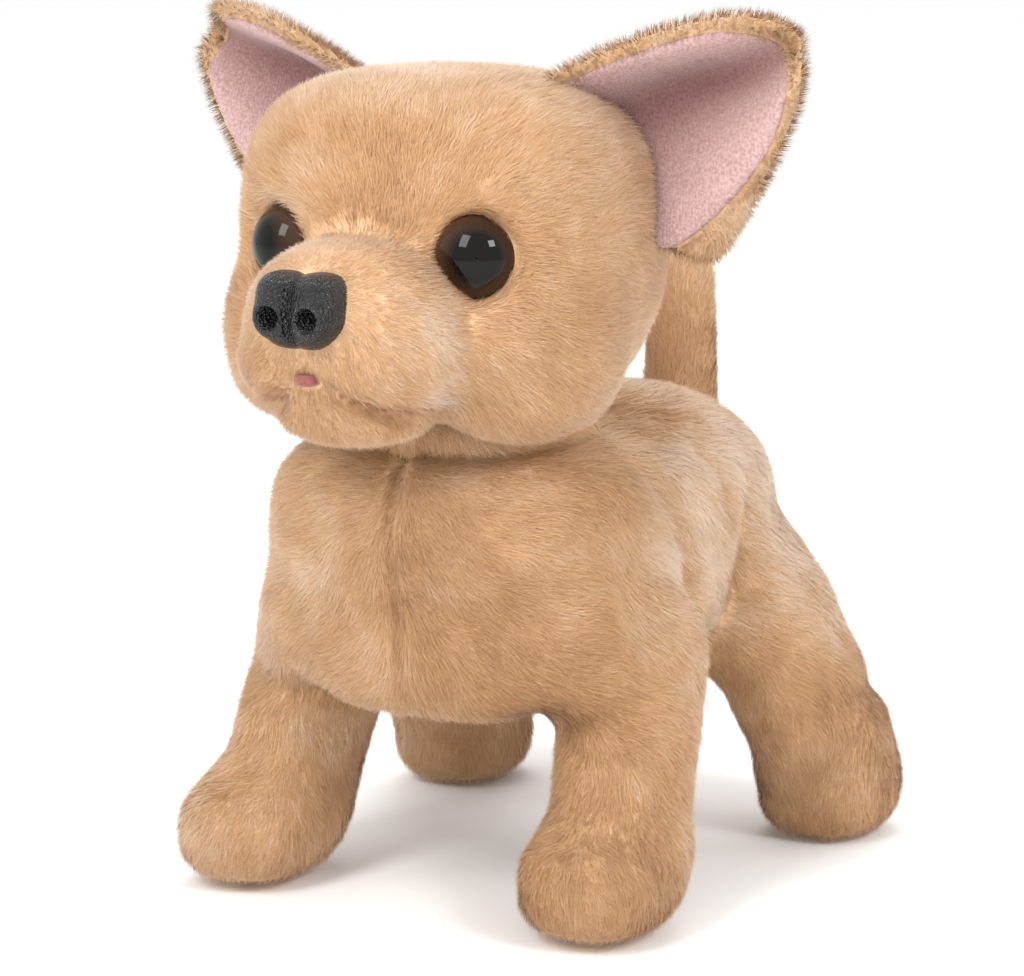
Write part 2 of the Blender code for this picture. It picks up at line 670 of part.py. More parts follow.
def make_reduction_gear():
    """Compound gear: its wheel meets the motor pinion, its pinion the crank gear."""
    wheel_phase = math.pi
    wheel = prism_x("reduction_gear", gear_outline(REDUCTION_TEETH, wheel_phase, REDUCTION_Y, CRANK_Z),
                    (6.8, 9.8), "gear_white")
    pinion = prism_x("reduction_pinion_shape",
                     gear_outline(REDUCTION_PINION_TEETH, 0.0, REDUCTION_Y, CRANK_Z), (9.0, 16.5),
                     cutter=True)
    axle = rod_between("reduction_axle_shape", (2.9, REDUCTION_Y, CRANK_Z), (21.2, REDUCTION_Y, CRANK_Z), 1.0,
                       cutter=True, segments=12)
    join(wheel, pinion, axle)
    hang_on(joint_axis("reduction_axis", (6.8, REDUCTION_Y, CRANK_Z)), wheel)


def make_crank():
    """Crank gear on its shaft, with a crank disc and pin at each end."""
    phase = math.pi + math.pi / CRANK_TEETH
    gear = prism_x("crank_gear", gear_outline(CRANK_TEETH, phase, CRANK_Y, CRANK_Z), (11.8, 15.0),
                   "gear_white")
    bore = rod_between("crank_gear_bore", (5, CRANK_Y, CRANK_Z), (25, CRANK_Y, CRANK_Z), 1.8, cutter=True)
    cut(gear, bore)
    shaft = rod_between("crank_shaft", (-20.7, CRANK_Y, CRANK_Z), (20.7, CRANK_Y, CRANK_Z), 1.5, "steel")
    pieces = [gear, shaft]
    for side in (1, -1):
        pin_z = CRANK_Z + side * CRANK_THROW
        disc = rod_between("crank_disc_" + side_name(side), (side * 21.0, CRANK_Y, CRANK_Z),
                           (side * 22.5, CRANK_Y, CRANK_Z), 5.5, "gear_white")
        pin = rod_between("crank_pin_shape_" + side_name(side), (side * 22.0, CRANK_Y, pin_z),
                          (side * (ROD_X[1] + 0.6), CRANK_Y, pin_z), 1.2, cutter=True, segments=10)
        pieces.append(join(disc, pin))
    hang_on(joint_axis("crank_axis", (0, CRANK_Y, CRANK_Z)), *pieces)


def make_drive_rods():
    """Flat rods with a slot for each leg's pin and a window round the crank pin."""
    low, high = ROD_Z - 3.6, ROD_Z + 3.6
    outline = (
        (FRONT_HIP_Y - 5.0, low), (HIND_HIP_Y + 3.5, low), (HIND_HIP_Y + 3.5, high), (14.0, high),
        (8.5, CRANK_Z + 6.0), (-8.5, CRANK_Z + 6.0), (-14.0, high), (FRONT_HIP_Y - 5.0, high),
    )
    for side in (1, -1):
        word = side_name(side)
        x_low, x_high = sorted(side * x for x in ROD_X)
        rod = prism_x("drive_rod_" + word, outline, (x_low, x_high), "frame_grey")
        window = box("crank_window_" + word, (x_low - 5, -4.9, CRANK_Z - 3.3), (x_high + 5, 4.9,
                                                                                CRANK_Z + 3.3),
                     cutter=True)
        cut(rod, window)
        for hip_y in (FRONT_HIP_Y, HIND_HIP_Y):
            tag = word + ("_front" if hip_y < 0 else "_hind")
            cut(rod, box("pin_slot_" + tag, (x_low - 5, hip_y - 1.85, ROD_Z - 2.1),
                         (x_high + 5, hip_y + 1.85, ROD_Z + 2.1), cutter=True))
        hang_on(joint_axis("rod_axis_" + word, (side * ROD_X[0], 0, ROD_Z)), rod)


def plate_outline():
    return ((-37.0, 68.0), (-34.0, 65.5), (17.0, 65.5), (17.0, 82.3), (12.0, 86.0), (-17.0, 86.0), (-37.0,
                                                                                                    81.5))


def make_gearbox_frame():
    """Two side plates held apart by three pillars."""
    for side, x_range in ((1, (19.0, 20.5)), (-1, (2.5, 4.0))):
        word = side_name(side)
        plate = prism_x("gearbox_plate_" + word, plate_outline(), x_range, "frame_grey")
        shaft_hole = rod_between("plate_shaft_hole_" + word, (0, CRANK_Y, CRANK_Z), (25, CRANK_Y, CRANK_Z),
                                 1.8,
                                 cutter=True)
        axle_hole = rod_between("plate_axle_hole_" + word, (0, REDUCTION_Y, CRANK_Z), (25, REDUCTION_Y,
                                                                                       CRANK_Z),
                                1.3, cutter=True, segments=12)
        motor_hole = rod_between("plate_motor_hole_" + word, (0, MOTOR_Y, CRANK_Z), (25, MOTOR_Y, CRANK_Z),
                                 3.4,
                                 cutter=True, segments=12)
        if side < 0:
            for y, z in ((-34.0, 70.0), (-33.5, 79.0), (14.6, 76.0)):
                join(plate, rod_between("pillar_shape_%d_%d" % (y, z), (3.5, y, z), (18.7, y, z), 1.8,
                                        cutter=True, segments=12))
        cut(plate, shaft_hole, axle_hole, motor_hole)


# -------------------------------------------------------------------- head

def eye_frame(side):
    at = Vector((side * EYE_AT[0], EYE_AT[1], EYE_AT[2]))
    axis = Vector((side * EYE_AXIS[0], EYE_AXIS[1], EYE_AXIS[2])).normalized()
    return at, axis


def ellipsoid(name, at, half, finish=None, cutter=False, segments=16, rings=8):
    builder = bmesh.new()
    bmesh.ops.create_uvsphere(builder, u_segments=segments, v_segments=rings, radius=1.0)
    bmesh.ops.scale(builder, vec=half, verts=builder.verts)
    bmesh.ops.translate(builder, vec=at, verts=builder.verts)
    return add_mesh(name, builder, finish, cutter)


def swollen(half, amount):
    return tuple(value + amount for value in half)


def head_cutters():
    """Sockets for the eyes, the nose and the tongue, and the neck opening."""
    cutters = [
        ellipsoid("nose_socket", NOSE_AT, swollen(NOSE_HALF, 0.5), cutter=True),
        ellipsoid("tongue_socket", TONGUE_AT, swollen(TONGUE_HALF, 0.5), cutter=True),
    ]
    for side in (1, -1):
        at, axis = eye_frame(side)
        cutters.append(rod_between("eye_socket_" + side_name(side), at - axis * 4.6, at + axis * 12.0,
                                   EYE_RADIUS + 0.6, cutter=True))
        cutters.append(rod_between("eye_stem_hole_" + side_name(side), at - axis * 16.0, at, 3.0, cutter=True,
                                   segments=12))
    return cutters


def make_head():
    cutters = head_cutters()
    inner = loft("head_plush_inner", body_rings(HEAD_STATIONS, PLUSH, HEAD_SIDES), cutter=True)
    opening = rod_between("head_neck_opening", (0, NECK_Y, 90.0), (0, NECK_Y, 116.0), 18.0, cutter=True)
    pieces = []
    for side in (1, -1):
        half = loft("head_plush_" + side_name(side), body_rings(HEAD_STATIONS, 0.0, HEAD_SIDES), "plush")
        cut(half, other_side("head_half_" + side_name(side), side))
        pieces.append(cut(half, inner, opening, *cutters))
    pieces += make_head_casing(cutters)
    pieces += make_face()
    pieces += make_ears()
    pieces += make_neck_yoke()
    hang_on(joint_axis("nod_axis", NOD_PIVOT), *pieces)


def make_head_casing(cutters):
    """Plastic head in a front and a rear shell, open round the neck post."""
    inner = loft("head_casing_inner", body_rings(HEAD_STATIONS[::2], HEAD_CASING_INSET + 1.8, CASING_SIDES),
                 cutter=True)
    post_hole = rod_between("head_post_hole", (0, NECK_Y, 90.0), (0, NECK_Y, 122.0), CASING_NECK_RADIUS,
                            cutter=True, segments=24)
    split = -48.0
    shells = []
    for word, low_y, high_y in (("front", -150.0, split - GAP / 2), ("rear", split + GAP / 2, 150.0)):
        rings = body_rings(HEAD_STATIONS[::2], HEAD_CASING_INSET, CASING_SIDES)
        shell = loft("head_casing_" + word, rings, "casing_white")
        cut(shell, inner, post_hole, *cutters)
        part = box("head_split_" + word, (-150, low_y, 50), (150, high_y, 250), cutter=True)
        shells.append(keep_inside(shell, part))
    return shells


def make_face():
    pieces = []
    for side in (1, -1):
        at, axis = eye_frame(side)
        dome = [(EYE_RADIUS * math.cos(math.radians(a)), -3.4 + 8.2 * math.sin(math.radians(a)))
                for a in (0, 18, 36, 54, 72)]
        profile = [(2.6, -13.0), (2.6, -4.2), (EYE_RADIUS, -4.2)] + dome + [(0.0, 4.8)]
        pieces.append(turned("eye_" + side_name(side), profile, at, axis, "eye_black", segments=20))
    pieces.append(ellipsoid("nose", NOSE_AT, NOSE_HALF, "nose_black"))
    pieces.append(ellipsoid("tongue", TONGUE_AT, TONGUE_HALF, "tongue_pink", segments=12, rings=6))
    return pieces


def rounded_triangle(corners, radii, arc_points=5):
    """Corner points replaced by arcs, in the plane of the triangle."""
    points = []
    for index, corner in enumerate(corners):
        before = (corners[index - 1] - corner).normalized()
        after = (corners[(index + 1) % 3] - corner).normalized()
        half_angle = before.angle(after) / 2
        radius = radii[index]
        centre = corner + (before + after).normalized() * radius / math.sin(half_angle)
        outward = (corner - centre).normalized()
        across = (after - before).normalized()
        sweep = math.pi / 2 - half_angle
        for step in range(arc_points):
            angle = sweep * (2 * step / (arc_points - 1) - 1)
            points.append(centre + (outward * math.cos(angle) + across * math.sin(angle)) * radius)
    return points


def make_ears():
    """A plush back and a knit lining for each ear, trimmed to the head."""
    clearance = loft("ear_head_clearance", body_rings(HEAD_STATIONS, -0.5, HEAD_SIDES), cutter=True)
    pieces = []
    for side in (1, -1):
        corners = [Vector((side * x, y, z)) for x, y, z in (EAR_INNER, EAR_TIP, EAR_OUTER)]
        normal = (corners[1] - corners[0]).cross(corners[2] - corners[0]).normalized()
        if normal.y > 0:
            normal = -normal
        outline = rounded_triangle(corners, EAR_CORNER_RADII)
        back = loft("ear_back_" + side_name(side),
                    ([p for p in outline], [p - normal * EAR_THICKNESS for p in outline]), "plush")
        middle = (corners[0] + corners[1] + corners[2]) / 3
        inset = [middle + (p - middle) * LINING_SHARE for p in outline]
        lining = loft("ear_lining_" + side_name(side),
                      ([p + normal * GAP for p in inset],
                       [p + normal * (GAP + LINING_THICKNESS) for p in inset]),
                      "pink_knit")
        pieces += [cut(back, clearance), cut(lining, clearance)]
    return pieces


def make_neck_yoke():
    """Inverted U over the neck post, and the pin that both turn on."""
    pivot_z = NOD_PIVOT[2]
    half_x, half_y = NECK_YOKE_HALF
    yoke = box("neck_yoke", (-half_x, NECK_Y - half_y, NECK_YOKE_Z[0]), (half_x, NECK_Y + half_y,
                                                                         NECK_YOKE_Z[1]),
               "frame_grey")
    hollow = box("yoke_hollow", (-9.0, NECK_Y - 15.0, 100.0), (9.0, NECK_Y + 15.0, 128.5), cutter=True)
    bore = rod_between("yoke_bore", (-20, NECK_Y, pivot_z), (20, NECK_Y, pivot_z), 2.3, cutter=True)
    cut(yoke, hollow, bore)
    pin = rod_between("neck_pin", (-12.5, NECK_Y, pivot_z), (12.5, NECK_Y, pivot_z), 2.0, "steel")
    return [yoke, pin]


# -------------------------------------------------------------------- tail

def tail_rings(low_z, high_z):
    """Upright rings of the tail, rounded at the tip."""
    rings = []
    for share, scale in ((0.0, 0.72), (0.08, 0.95), (0.3, 1.0), (0.7, 0.98), (0.88, 0.85), (0.97, 0.55),
                         (1.0, 0.2)):
        z = low_z + (high_z - low_z) * share
        radius = TAIL_RADIUS * scale
        y = TAIL_Y + TAIL_HEEL * (1 - share) ** 3
        rings.append([(a, y + b, z) for a, b in superellipse(14, radius, radius, 2.0)])
    return rings


def make_tail():
    sleeve = loft("tail_plush", tail_rings(TAIL_AXIS_Z - 5.0, TAIL_TOP_Z), "plush")
    pocket = rod_between("tail_pocket", (0, TAIL_CORE_Y, TAIL_AXIS_Z - 2.9), (0, TAIL_CORE_Y,
                                                                              TAIL_TOP_Z - 12.0), 2.9,
                         cutter=True, segments=12)
    way_in = rod_between("tail_way_in", (0, TAIL_Y - 20.0, TAIL_AXIS_Z), (0, TAIL_CORE_Y + 1.0,
                                                                          TAIL_AXIS_Z), 2.9,
                         cutter=True, segments=12)
    cut(sleeve, pocket, way_in)
    lever = rod_between("tail_lever", (0, 52.0, TAIL_AXIS_Z), (0, TAIL_CORE_Y + 1.5, TAIL_AXIS_Z), 2.2,
                        "casing_white",
                        segments=12)
    upright = rod_between("tail_upright_shape", (0, TAIL_CORE_Y, TAIL_AXIS_Z), (0, TAIL_CORE_Y,
                                                                                TAIL_TOP_Z - 14.0), 1.9,
                          cutter=True, segments=12)
    hub = rod_between("tail_hub_shape", (0, 50.0, TAIL_AXIS_Z), (0, 53.5, TAIL_AXIS_Z), 4.2, cutter=True,
                      segments=12)
    join(lever, upright, hub)
    hang_on(joint_axis("tail_axis", (0, 52.0, TAIL_AXIS_Z)), sleeve, lever)


def main():
    clear_scene()
    make_body_plush(make_legs())
    make_casing()
    make_casing_screws()
    make_neck_post()
    make_battery_bay()
    make_power_switch()
    make_back_button()
    make_electronics()
    make_motor()
    make_reduction_gear()
    make_crank()
    make_drive_rods()
    make_gearbox_frame()
    make_head()
    make_tail()


main()
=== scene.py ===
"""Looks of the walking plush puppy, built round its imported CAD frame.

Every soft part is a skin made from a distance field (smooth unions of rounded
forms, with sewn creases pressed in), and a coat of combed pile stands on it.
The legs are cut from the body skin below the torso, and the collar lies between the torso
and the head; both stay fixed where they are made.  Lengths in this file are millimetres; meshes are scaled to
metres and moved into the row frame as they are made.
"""

import json
import math

import bpy
import numpy as np
from mathutils import Matrix, Vector


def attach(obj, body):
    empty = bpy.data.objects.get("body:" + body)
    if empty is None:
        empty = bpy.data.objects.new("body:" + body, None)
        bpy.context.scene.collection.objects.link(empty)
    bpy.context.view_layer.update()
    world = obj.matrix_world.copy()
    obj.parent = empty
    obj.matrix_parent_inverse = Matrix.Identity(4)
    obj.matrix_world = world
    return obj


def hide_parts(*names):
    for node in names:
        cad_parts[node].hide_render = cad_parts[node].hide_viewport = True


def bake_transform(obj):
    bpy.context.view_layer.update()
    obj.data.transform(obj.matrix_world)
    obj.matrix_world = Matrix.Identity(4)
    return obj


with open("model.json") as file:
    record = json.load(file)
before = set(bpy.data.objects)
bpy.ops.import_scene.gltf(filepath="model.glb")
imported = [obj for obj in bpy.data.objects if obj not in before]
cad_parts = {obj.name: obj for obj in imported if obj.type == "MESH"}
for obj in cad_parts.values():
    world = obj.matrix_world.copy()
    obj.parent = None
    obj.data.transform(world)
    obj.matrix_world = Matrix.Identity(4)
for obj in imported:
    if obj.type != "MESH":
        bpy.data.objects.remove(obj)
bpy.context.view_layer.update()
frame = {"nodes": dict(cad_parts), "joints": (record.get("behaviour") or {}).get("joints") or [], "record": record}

MM = 0.001

# Coordinates here start on the ground under the crank shaft, as in the CAD source;
# the nod joint's place says how far the row frame is shifted along Y.
NOD_PIVOT = (0.0, -32.0, 121.5)
NOD_JOINT = next(joint for joint in frame["joints"] if joint["name"] == "head_nod")
SHIFT_Y = NOD_JOINT["pos_m"][1] / MM - NOD_PIVOT[1]

# Camera: where it stands round the object, and how far it sees
CAMERA_AZIMUTH = 30.4
CAMERA_ELEVATION = 10.2
CAMERA_DISTANCE = 800.0
CAMERA_TARGET = (-0.4, -12.2, 87.2)
CAMERA_LENS = 125.0
SENSOR_WIDTH = 36.0

# Grid cells that the distance fields are sampled in
SKIN_CELL = 1.4
EAR_CELL = 1.1
LINING_CELL = 0.8
NOSE_CELL = 0.4

# A shell has to be thicker than its cell.  A crease drawn along an axis fades out
# over its reach, so that it does not mark the far side.
SKIN_THICKNESS = 2.4
CREASE_REACH = 15.0
NOISE_PERIOD = 32

# The pile: strands per square millimetre, their length, their width, how deep they
# are rooted, and the tone that they vary about
DENSITY = 11.0
PILE_LENGTH = 4.2
STRAND_WIDTH = 0.2
ROOT_DEPTH = 0.3
MEAN_TONE = 3.95
STRANDS_PER_PIECE = 190000


def to_row(points):
    """Points of this file's coordinates, in metres in the row frame."""
    return (np.asarray(points, float) + (0.0, SHIFT_Y, 0.0)) * MM


# ------------------------------------------------------------ noise and fields

def lattice_noise(points, cell, seed):
    """Smooth noise between -1 and 1 that repeats every NOISE_PERIOD cells."""
    table = np.random.default_rng(seed).uniform(-1.0, 1.0, (NOISE_PERIOD,) * 3)
    scaled = np.asarray(points) / cell
    base = np.floor(scaled).astype(int)
    share = scaled - base
    share = share * share * (3 - 2 * share)
    total = np.zeros(len(scaled))
    for dx in (0, 1):
        for dy in (0, 1):
            for dz in (0, 1):
                corner = (base + (dx, dy, dz)) % NOISE_PERIOD
                weight = np.ones(len(scaled))
                for axis, side in enumerate((dx, dy, dz)):
                    weight = weight * (share[:, axis] if side else 1 - share[:, axis])
                total += weight * table[corner[:, 0], corner[:, 1], corner[:, 2]]
    return total


def grid_points(low, high, cell):
    """Three open coordinate arrays over a box."""
    return np.ogrid[low[0]:high[0]:cell, low[1]:high[1]:cell, low[2]:high[2]:cell]


def smooth_min(a, b, width):
    share = np.clip(0.5 + 0.5 * (b - a) / width, 0.0, 1.0)
    return b * (1 - share) + a * share - width * share * (1 - share)


def smooth_max(a, b, width):
    return -smooth_min(-a, -b, width)


def rounded_form(p, centre, half, power=2.0, end_power=None):
    """Superellipsoid round a centre; end_power is the exponent along Y."""
    end_power = end_power or power
    x, y, z = (np.abs(c - m) / h for c, m, h in zip(p, centre, half))
    section = (x ** power + z ** power) ** (1 / power)
    reach = (section ** end_power + y ** end_power) ** (1 / end_power)
    return (reach - 1.0) * min(half)


def limb(p, start, end, start_radius, end_radius, stretch=1.0):
    """Round cone between two points, stretched along Y."""
    scale = np.array((1.0, stretch, 1.0))
    a, b = np.array(start) / scale, np.array(end) / scale
    span = b - a
    q = [p[i] / scale[i] - a[i] for i in range(3)]
    share = np.clip(sum(q[i] * span[i] for i in range(3)) / span.dot(span), 0.0, 1.0)
    off = sum((q[i] - share * span[i]) ** 2 for i in range(3))
    return np.sqrt(off) - (start_radius + (end_radius - start_radius) * share)


def both_sides(p, shape, *args, **named):
    """A shape whose centre or ends are given for the left side, on both sides."""
    return shape((np.abs(p[0]), p[1], p[2]), *args, **named)


def crease(p, points, width, depth, axis=None):
    """How deep a sewn crease along a polyline presses the skin in, on both sides.

    With an axis the polyline is drawn on the skin along that axis, and its own
    coordinate there only says on which side of the body it lies.
    """
    q = [np.abs(p[0]), p[1], p[2]]
    reach = 1.0
    if axis is not None:
        middle = sum(point[axis] for point in points) / len(points)
        reach = np.exp(-((q[axis] - middle) / CREASE_REACH) ** 4)
        q[axis] = q[axis] * 0.0
        points = [tuple(0.0 if i == axis else c for i, c in enumerate(point)) for point in points]
    nearest = None
    for start, end in zip(points, points[1:]):
        distance = limb(q, start, end, 0.0, 0.0)
        nearest = distance if nearest is None else np.minimum(nearest, distance)
    return depth * np.exp(-(nearest / width) ** 2) * reach


def surface_nets(field, low, cell):
    """Vertices and outward quads of the surface where the field is zero."""
    shape = np.array(field.shape) - 1
    cells = int(shape.prod())
    total = np.zeros((cells, 3))
    count = np.zeros(cells)
    quads = []
    for axis in range(3):
        size = field.shape[axis]
        lower = field.take(range(size - 1), axis)
        upper = field.take(range(1, size), axis)
        crossing = np.argwhere((lower < 0) != (upper < 0))
        near, far = lower[tuple(crossing.T)], upper[tuple(crossing.T)]
        spot = crossing.astype(float)
        spot[:, axis] += near / (near - far)
        ring = []
        for back_u, back_v in ((0, 0), (1, 0), (1, 1), (0, 1)):
            owner = crossing.copy()
            owner[:, (axis + 1) % 3] -= back_u
            owner[:, (axis + 2) % 3] -= back_v
            ids = (owner[:, 0] * shape[1] + owner[:, 1]) * shape[2] + owner[:, 2]
            for component in range(3):
                total[:, component] += np.bincount(ids, spot[:, component], cells)
            count += np.bincount(ids, minlength=cells)
            ring.append(ids)
        ring = np.stack(ring, 1)
        quads.append(np.where((near < 0)[:, None], ring, ring[:, ::-1]))
    used = count > 0
    index = np.cumsum(used) - 1
    vertices = total[used] / count[used][:, None] * cell + low
    return vertices, index[np.concatenate(quads)]


def relax(vertices, quads, passes):
    """Move each vertex half way to the middle of its neighbours."""
    pairs = np.concatenate([quads[:, [i, (i + 1) % 4]] for i in range(4)])
    size = len(vertices)
    degree = np.bincount(pairs[:, 0], minlength=size)[:, None]
    for _ in range(passes):
        middle = np.stack([np.bincount(pairs[:, 0], vertices[pairs[:, 1], c], size) for c in range(3)], 1)
        vertices = (vertices + middle / np.maximum(degree, 1)) / 2
    return vertices


def skin_from(build, low, high, cell=SKIN_CELL, passes=2):
    """Mesh a distance field given as a function of the coordinates."""
    low = np.array(low, float)
    p = grid_points(low, np.array(high, float), cell)
    vertices, quads = surface_nets(np.asarray(build(p), float), low, cell)
    return relax(vertices, quads, passes), quads


# -------------------------------------------------------------------- objects

def mesh_object(name, vertices, faces, material, smooth=True):
    """A mesh object from millimetre vertices and faces of equal size."""
    faces = np.asarray(faces)
    mesh = bpy.data.meshes.new(name)
    mesh.vertices.add(len(vertices))
    mesh.vertices.foreach_set("co", to_row(vertices).astype(np.float32).ravel())
    sides = faces.shape[1]
    mesh.loops.add(faces.size)
    mesh.loops.foreach_set("vertex_index", faces.astype(np.int32).ravel())
    mesh.polygons.add(len(faces))
    mesh.polygons.foreach_set("loop_start", np.arange(0, faces.size, sides, dtype=np.int32))
    mesh.polygons.foreach_set("loop_total", np.full(len(faces), sides, np.int32))
    mesh.update(calc_edges=True)
    if smooth:
        mesh.shade_smooth()
    obj = bpy.data.objects.new(name, mesh)
    bpy.context.scene.collection.objects.link(obj)
    for each in material if isinstance(material, list) else [material]:
        mesh.materials.append(each)
    return obj


def part_of(vertices, faces, chosen):
    """The chosen faces with their own vertices."""
    kept = faces[chosen]
    used, inverse = np.unique(kept, return_inverse=True)
    return vertices[used], inverse.reshape(kept.shape)


def vertex_normals(vertices, faces):
    a, b, c, d = (vertices[faces[:, i]] for i in range(4))
    face_normal = np.cross(c - a, d - b)
    normals = np.zeros_like(vertices)
    for corner in range(4):
        for component in range(3):
            normals[:, component] += np.bincount(faces[:, corner], face_normal[:, component], len(vertices))
    return normals / np.maximum(np.linalg.norm(normals, axis=1, keepdims=True), 1e-9)


# ------------------------------------------------------------------ materials

def principled(name, colour, roughness=0.5, metallic=0.0, **inputs):
    made = bpy.data.materials.new(name)
    made.use_nodes = True
    shader = made.node_tree.nodes["Principled BSDF"]
    shader.inputs["Base Color"].default_value = (*colour, 1.0)
    shader.inputs["Roughness"].default_value = roughness
    shader.inputs["Metallic"].default_value = metallic
    for key, value in inputs.items():
        shader.inputs[key.replace("_", " ").title().replace("Ior", "IOR")].default_value = value
    made.diffuse_color = (*colour, 1.0)
    return made


def node(tree, kind, **values):
    made = tree.nodes.new(kind)
    for key, value in values.items():
        if key in made.inputs:
            made.inputs[key].default_value = value
        else:
            setattr(made, key, value)
    return made


def colour_from_noise(made, scale, colours, detail=4.0, stretch=(1, 1, 1)):
    """Colour ramp over stretched noise; returns the noise node."""
    tree = made.node_tree
    place = node(tree, "ShaderNodeTexCoord")
    mapping = node(tree, "ShaderNodeMapping", Scale=stretch)
    pattern = node(tree, "ShaderNodeTexNoise", Scale=scale, Detail=detail)
    ramp = node(tree, "ShaderNodeValToRGB")
    ramp.color_ramp.elements[0].position = 0.3
    ramp.color_ramp.elements[0].color = (*colours[0], 1.0)
    ramp.color_ramp.elements[1].position = 0.7
    ramp.color_ramp.elements[1].color = (*colours[1], 1.0)
    tree.links.new(place.outputs["Object"], mapping.inputs["Vector"])
    tree.links.new(mapping.outputs["Vector"], pattern.inputs["Vector"])
    tree.links.new(pattern.outputs["Fac"], ramp.inputs["Fac"])
    tree.links.new(ramp.outputs["Color"], tree.nodes["Principled BSDF"].inputs["Base Color"])
    return pattern


def add_bump(made, height, strength, distance):
    tree = made.node_tree
    bump = node(tree, "ShaderNodeBump", Strength=strength, Distance=distance)
    tree.links.new(height, bump.inputs["Height"])
    tree.links.new(bump.outputs["Normal"], tree.nodes["Principled BSDF"].inputs["Normal"])


def moulded(name, colour, roughness, grain=900.0, strength=0.08, **inputs):
    """Moulded plastic: a trace of tone variation, fine grain and uneven gloss."""
    made = principled(name, colour, roughness, **inputs)
    shade = tuple(c * 0.9 for c in colour)
    pattern = colour_from_noise(made, 60.0, (shade, colour))
    tree = made.node_tree
    fine = node(tree, "ShaderNodeTexNoise", Scale=grain, Detail=2.0)
    tree.links.new(pattern.inputs["Vector"].links[0].from_socket, fine.inputs["Vector"])
    rough = node(tree, "ShaderNodeMapRange")
    rough.inputs["To Min"].default_value = roughness * 0.8
    rough.inputs["To Max"].default_value = min(roughness * 1.2, 1.0)
    tree.links.new(pattern.outputs["Fac"], rough.inputs["Value"])
    tree.links.new(rough.outputs["Result"], tree.nodes["Principled BSDF"].inputs["Roughness"])
    add_bump(made, fine.outputs["Fac"], strength, 0.0003)
    return made


def brushed(name, colour, roughness):
    """Plated or drawn metal with streaks along X."""
    made = principled(name, colour, roughness, 1.0)
    pattern = colour_from_noise(made, 300.0, (tuple(c * 0.8 for c in colour), colour), stretch=(0.08, 1, 1))
    add_bump(made, pattern.outputs["Fac"], 0.1, 0.0002)
    return made


# Plush tones from the darkest strands to the palest, as linear colours
PLUSH_TONES = (
    (0.34, 0.165, 0.070),
    (0.45, 0.232, 0.100),
    (0.545, 0.292, 0.130),
    (0.615, 0.345, 0.162),
    (0.68, 0.410, 0.212),
    (0.75, 0.505, 0.315),
    (0.82, 0.625, 0.470),
)


def pile_materials():
    """One plain material per tone: strands are too fine to carry a texture."""
    return [principled("plush_strand_%d" % index, tone, 0.62, Sheen_Weight=0.25, Sheen_Roughness=0.4)
            for index, tone in enumerate(PLUSH_TONES)]


def plush_backing():
    made = principled("plush_backing", PLUSH_TONES[4], 0.95, Sheen_Weight=0.3)
    pattern = colour_from_noise(made, 420.0, (PLUSH_TONES[3], PLUSH_TONES[5]), stretch=(1, 1, 0.35))
    add_bump(made, pattern.outputs["Fac"], 0.5, 0.001)
    return made


def knit_fabric(name, dark, light, rib_scale):
    """Brushed knit: speckled yarn in faint wales, under a fuzz."""
    made = principled(name, light, 0.95, Sheen_Weight=0.35, Sheen_Roughness=0.5)
    pattern = colour_from_noise(made, 1500.0, (dark, light), detail=3.0)
    tree = made.node_tree
    place = pattern.inputs["Vector"].links[0].from_socket
    wales = node(tree, "ShaderNodeTexWave", Scale=rib_scale, Distortion=6.0)
    wales.inputs["Detail Scale"].default_value = 2.0
    fuzz = node(tree, "ShaderNodeTexNoise", Scale=2200.0, Detail=3.0)
    tree.links.new(place, wales.inputs["Vector"])
    tree.links.new(place, fuzz.inputs["Vector"])
    faint = node(tree, "ShaderNodeMath", operation="MULTIPLY")
    faint.inputs[1].default_value = 0.3
    mix = node(tree, "ShaderNodeMath", operation="ADD")
    tree.links.new(wales.outputs["Fac"], faint.inputs[0])
    tree.links.new(faint.outputs["Value"], mix.inputs[0])
    tree.links.new(fuzz.outputs["Fac"], mix.inputs[1])
    add_bump(made, mix.outputs["Value"], 0.5, 0.0004)
    return made


FINISHES = {
    "casing_white": lambda: moulded("casing_plastic", (0.75, 0.75, 0.72), 0.45),
    "frame_grey": lambda: moulded("frame_plastic", (0.35, 0.36, 0.38), 0.5),
    "gear_white": lambda: moulded("gear_plastic", (0.82, 0.82, 0.78), 0.4),
    "black_plastic": lambda: moulded("hatch_plastic", (0.03, 0.03, 0.03), 0.5, strength=0.2),
    "cell_green": lambda: moulded("cell_sleeve", (0.06, 0.25, 0.10), 0.35),
    "board_green": lambda: moulded("board_mask", (0.02, 0.18, 0.07), 0.4),
    "steel": lambda: brushed("plated_steel", (0.62, 0.62, 0.63), 0.3),
}


def dress_cad_nodes():
    """Give the CAD nodes that stay their procedural finish, by material slot."""
    made = {}
    for entry in frame["record"]["subparts"]:
        slot = entry["material_slot"]
        if slot not in FINISHES:
            continue
        if slot not in made:
            made[slot] = FINISHES[slot]()
        for place in frame["nodes"][entry["node"]].material_slots:
            place.material = made[slot]


# ------------------------------------------------------------- body and legs

FRONT_PAW = (44.0, -50.0, 12.6)
HIND_PAW = (50.5, 50.0, 11.6)
LEG_CUT_Z = 40.0
LEG_FREE_Z = 23.0
BELLY_Z = 42.6
HATCH_LOW = (-21.0, -42.0)
HATCH_HIGH = (21.0, 38.5)
HATCH_CEILING = 56.0
HATCH_BORDER = 2.2
SOLE_Z = 0.7
TAIL_ROOT_Z = 76.0

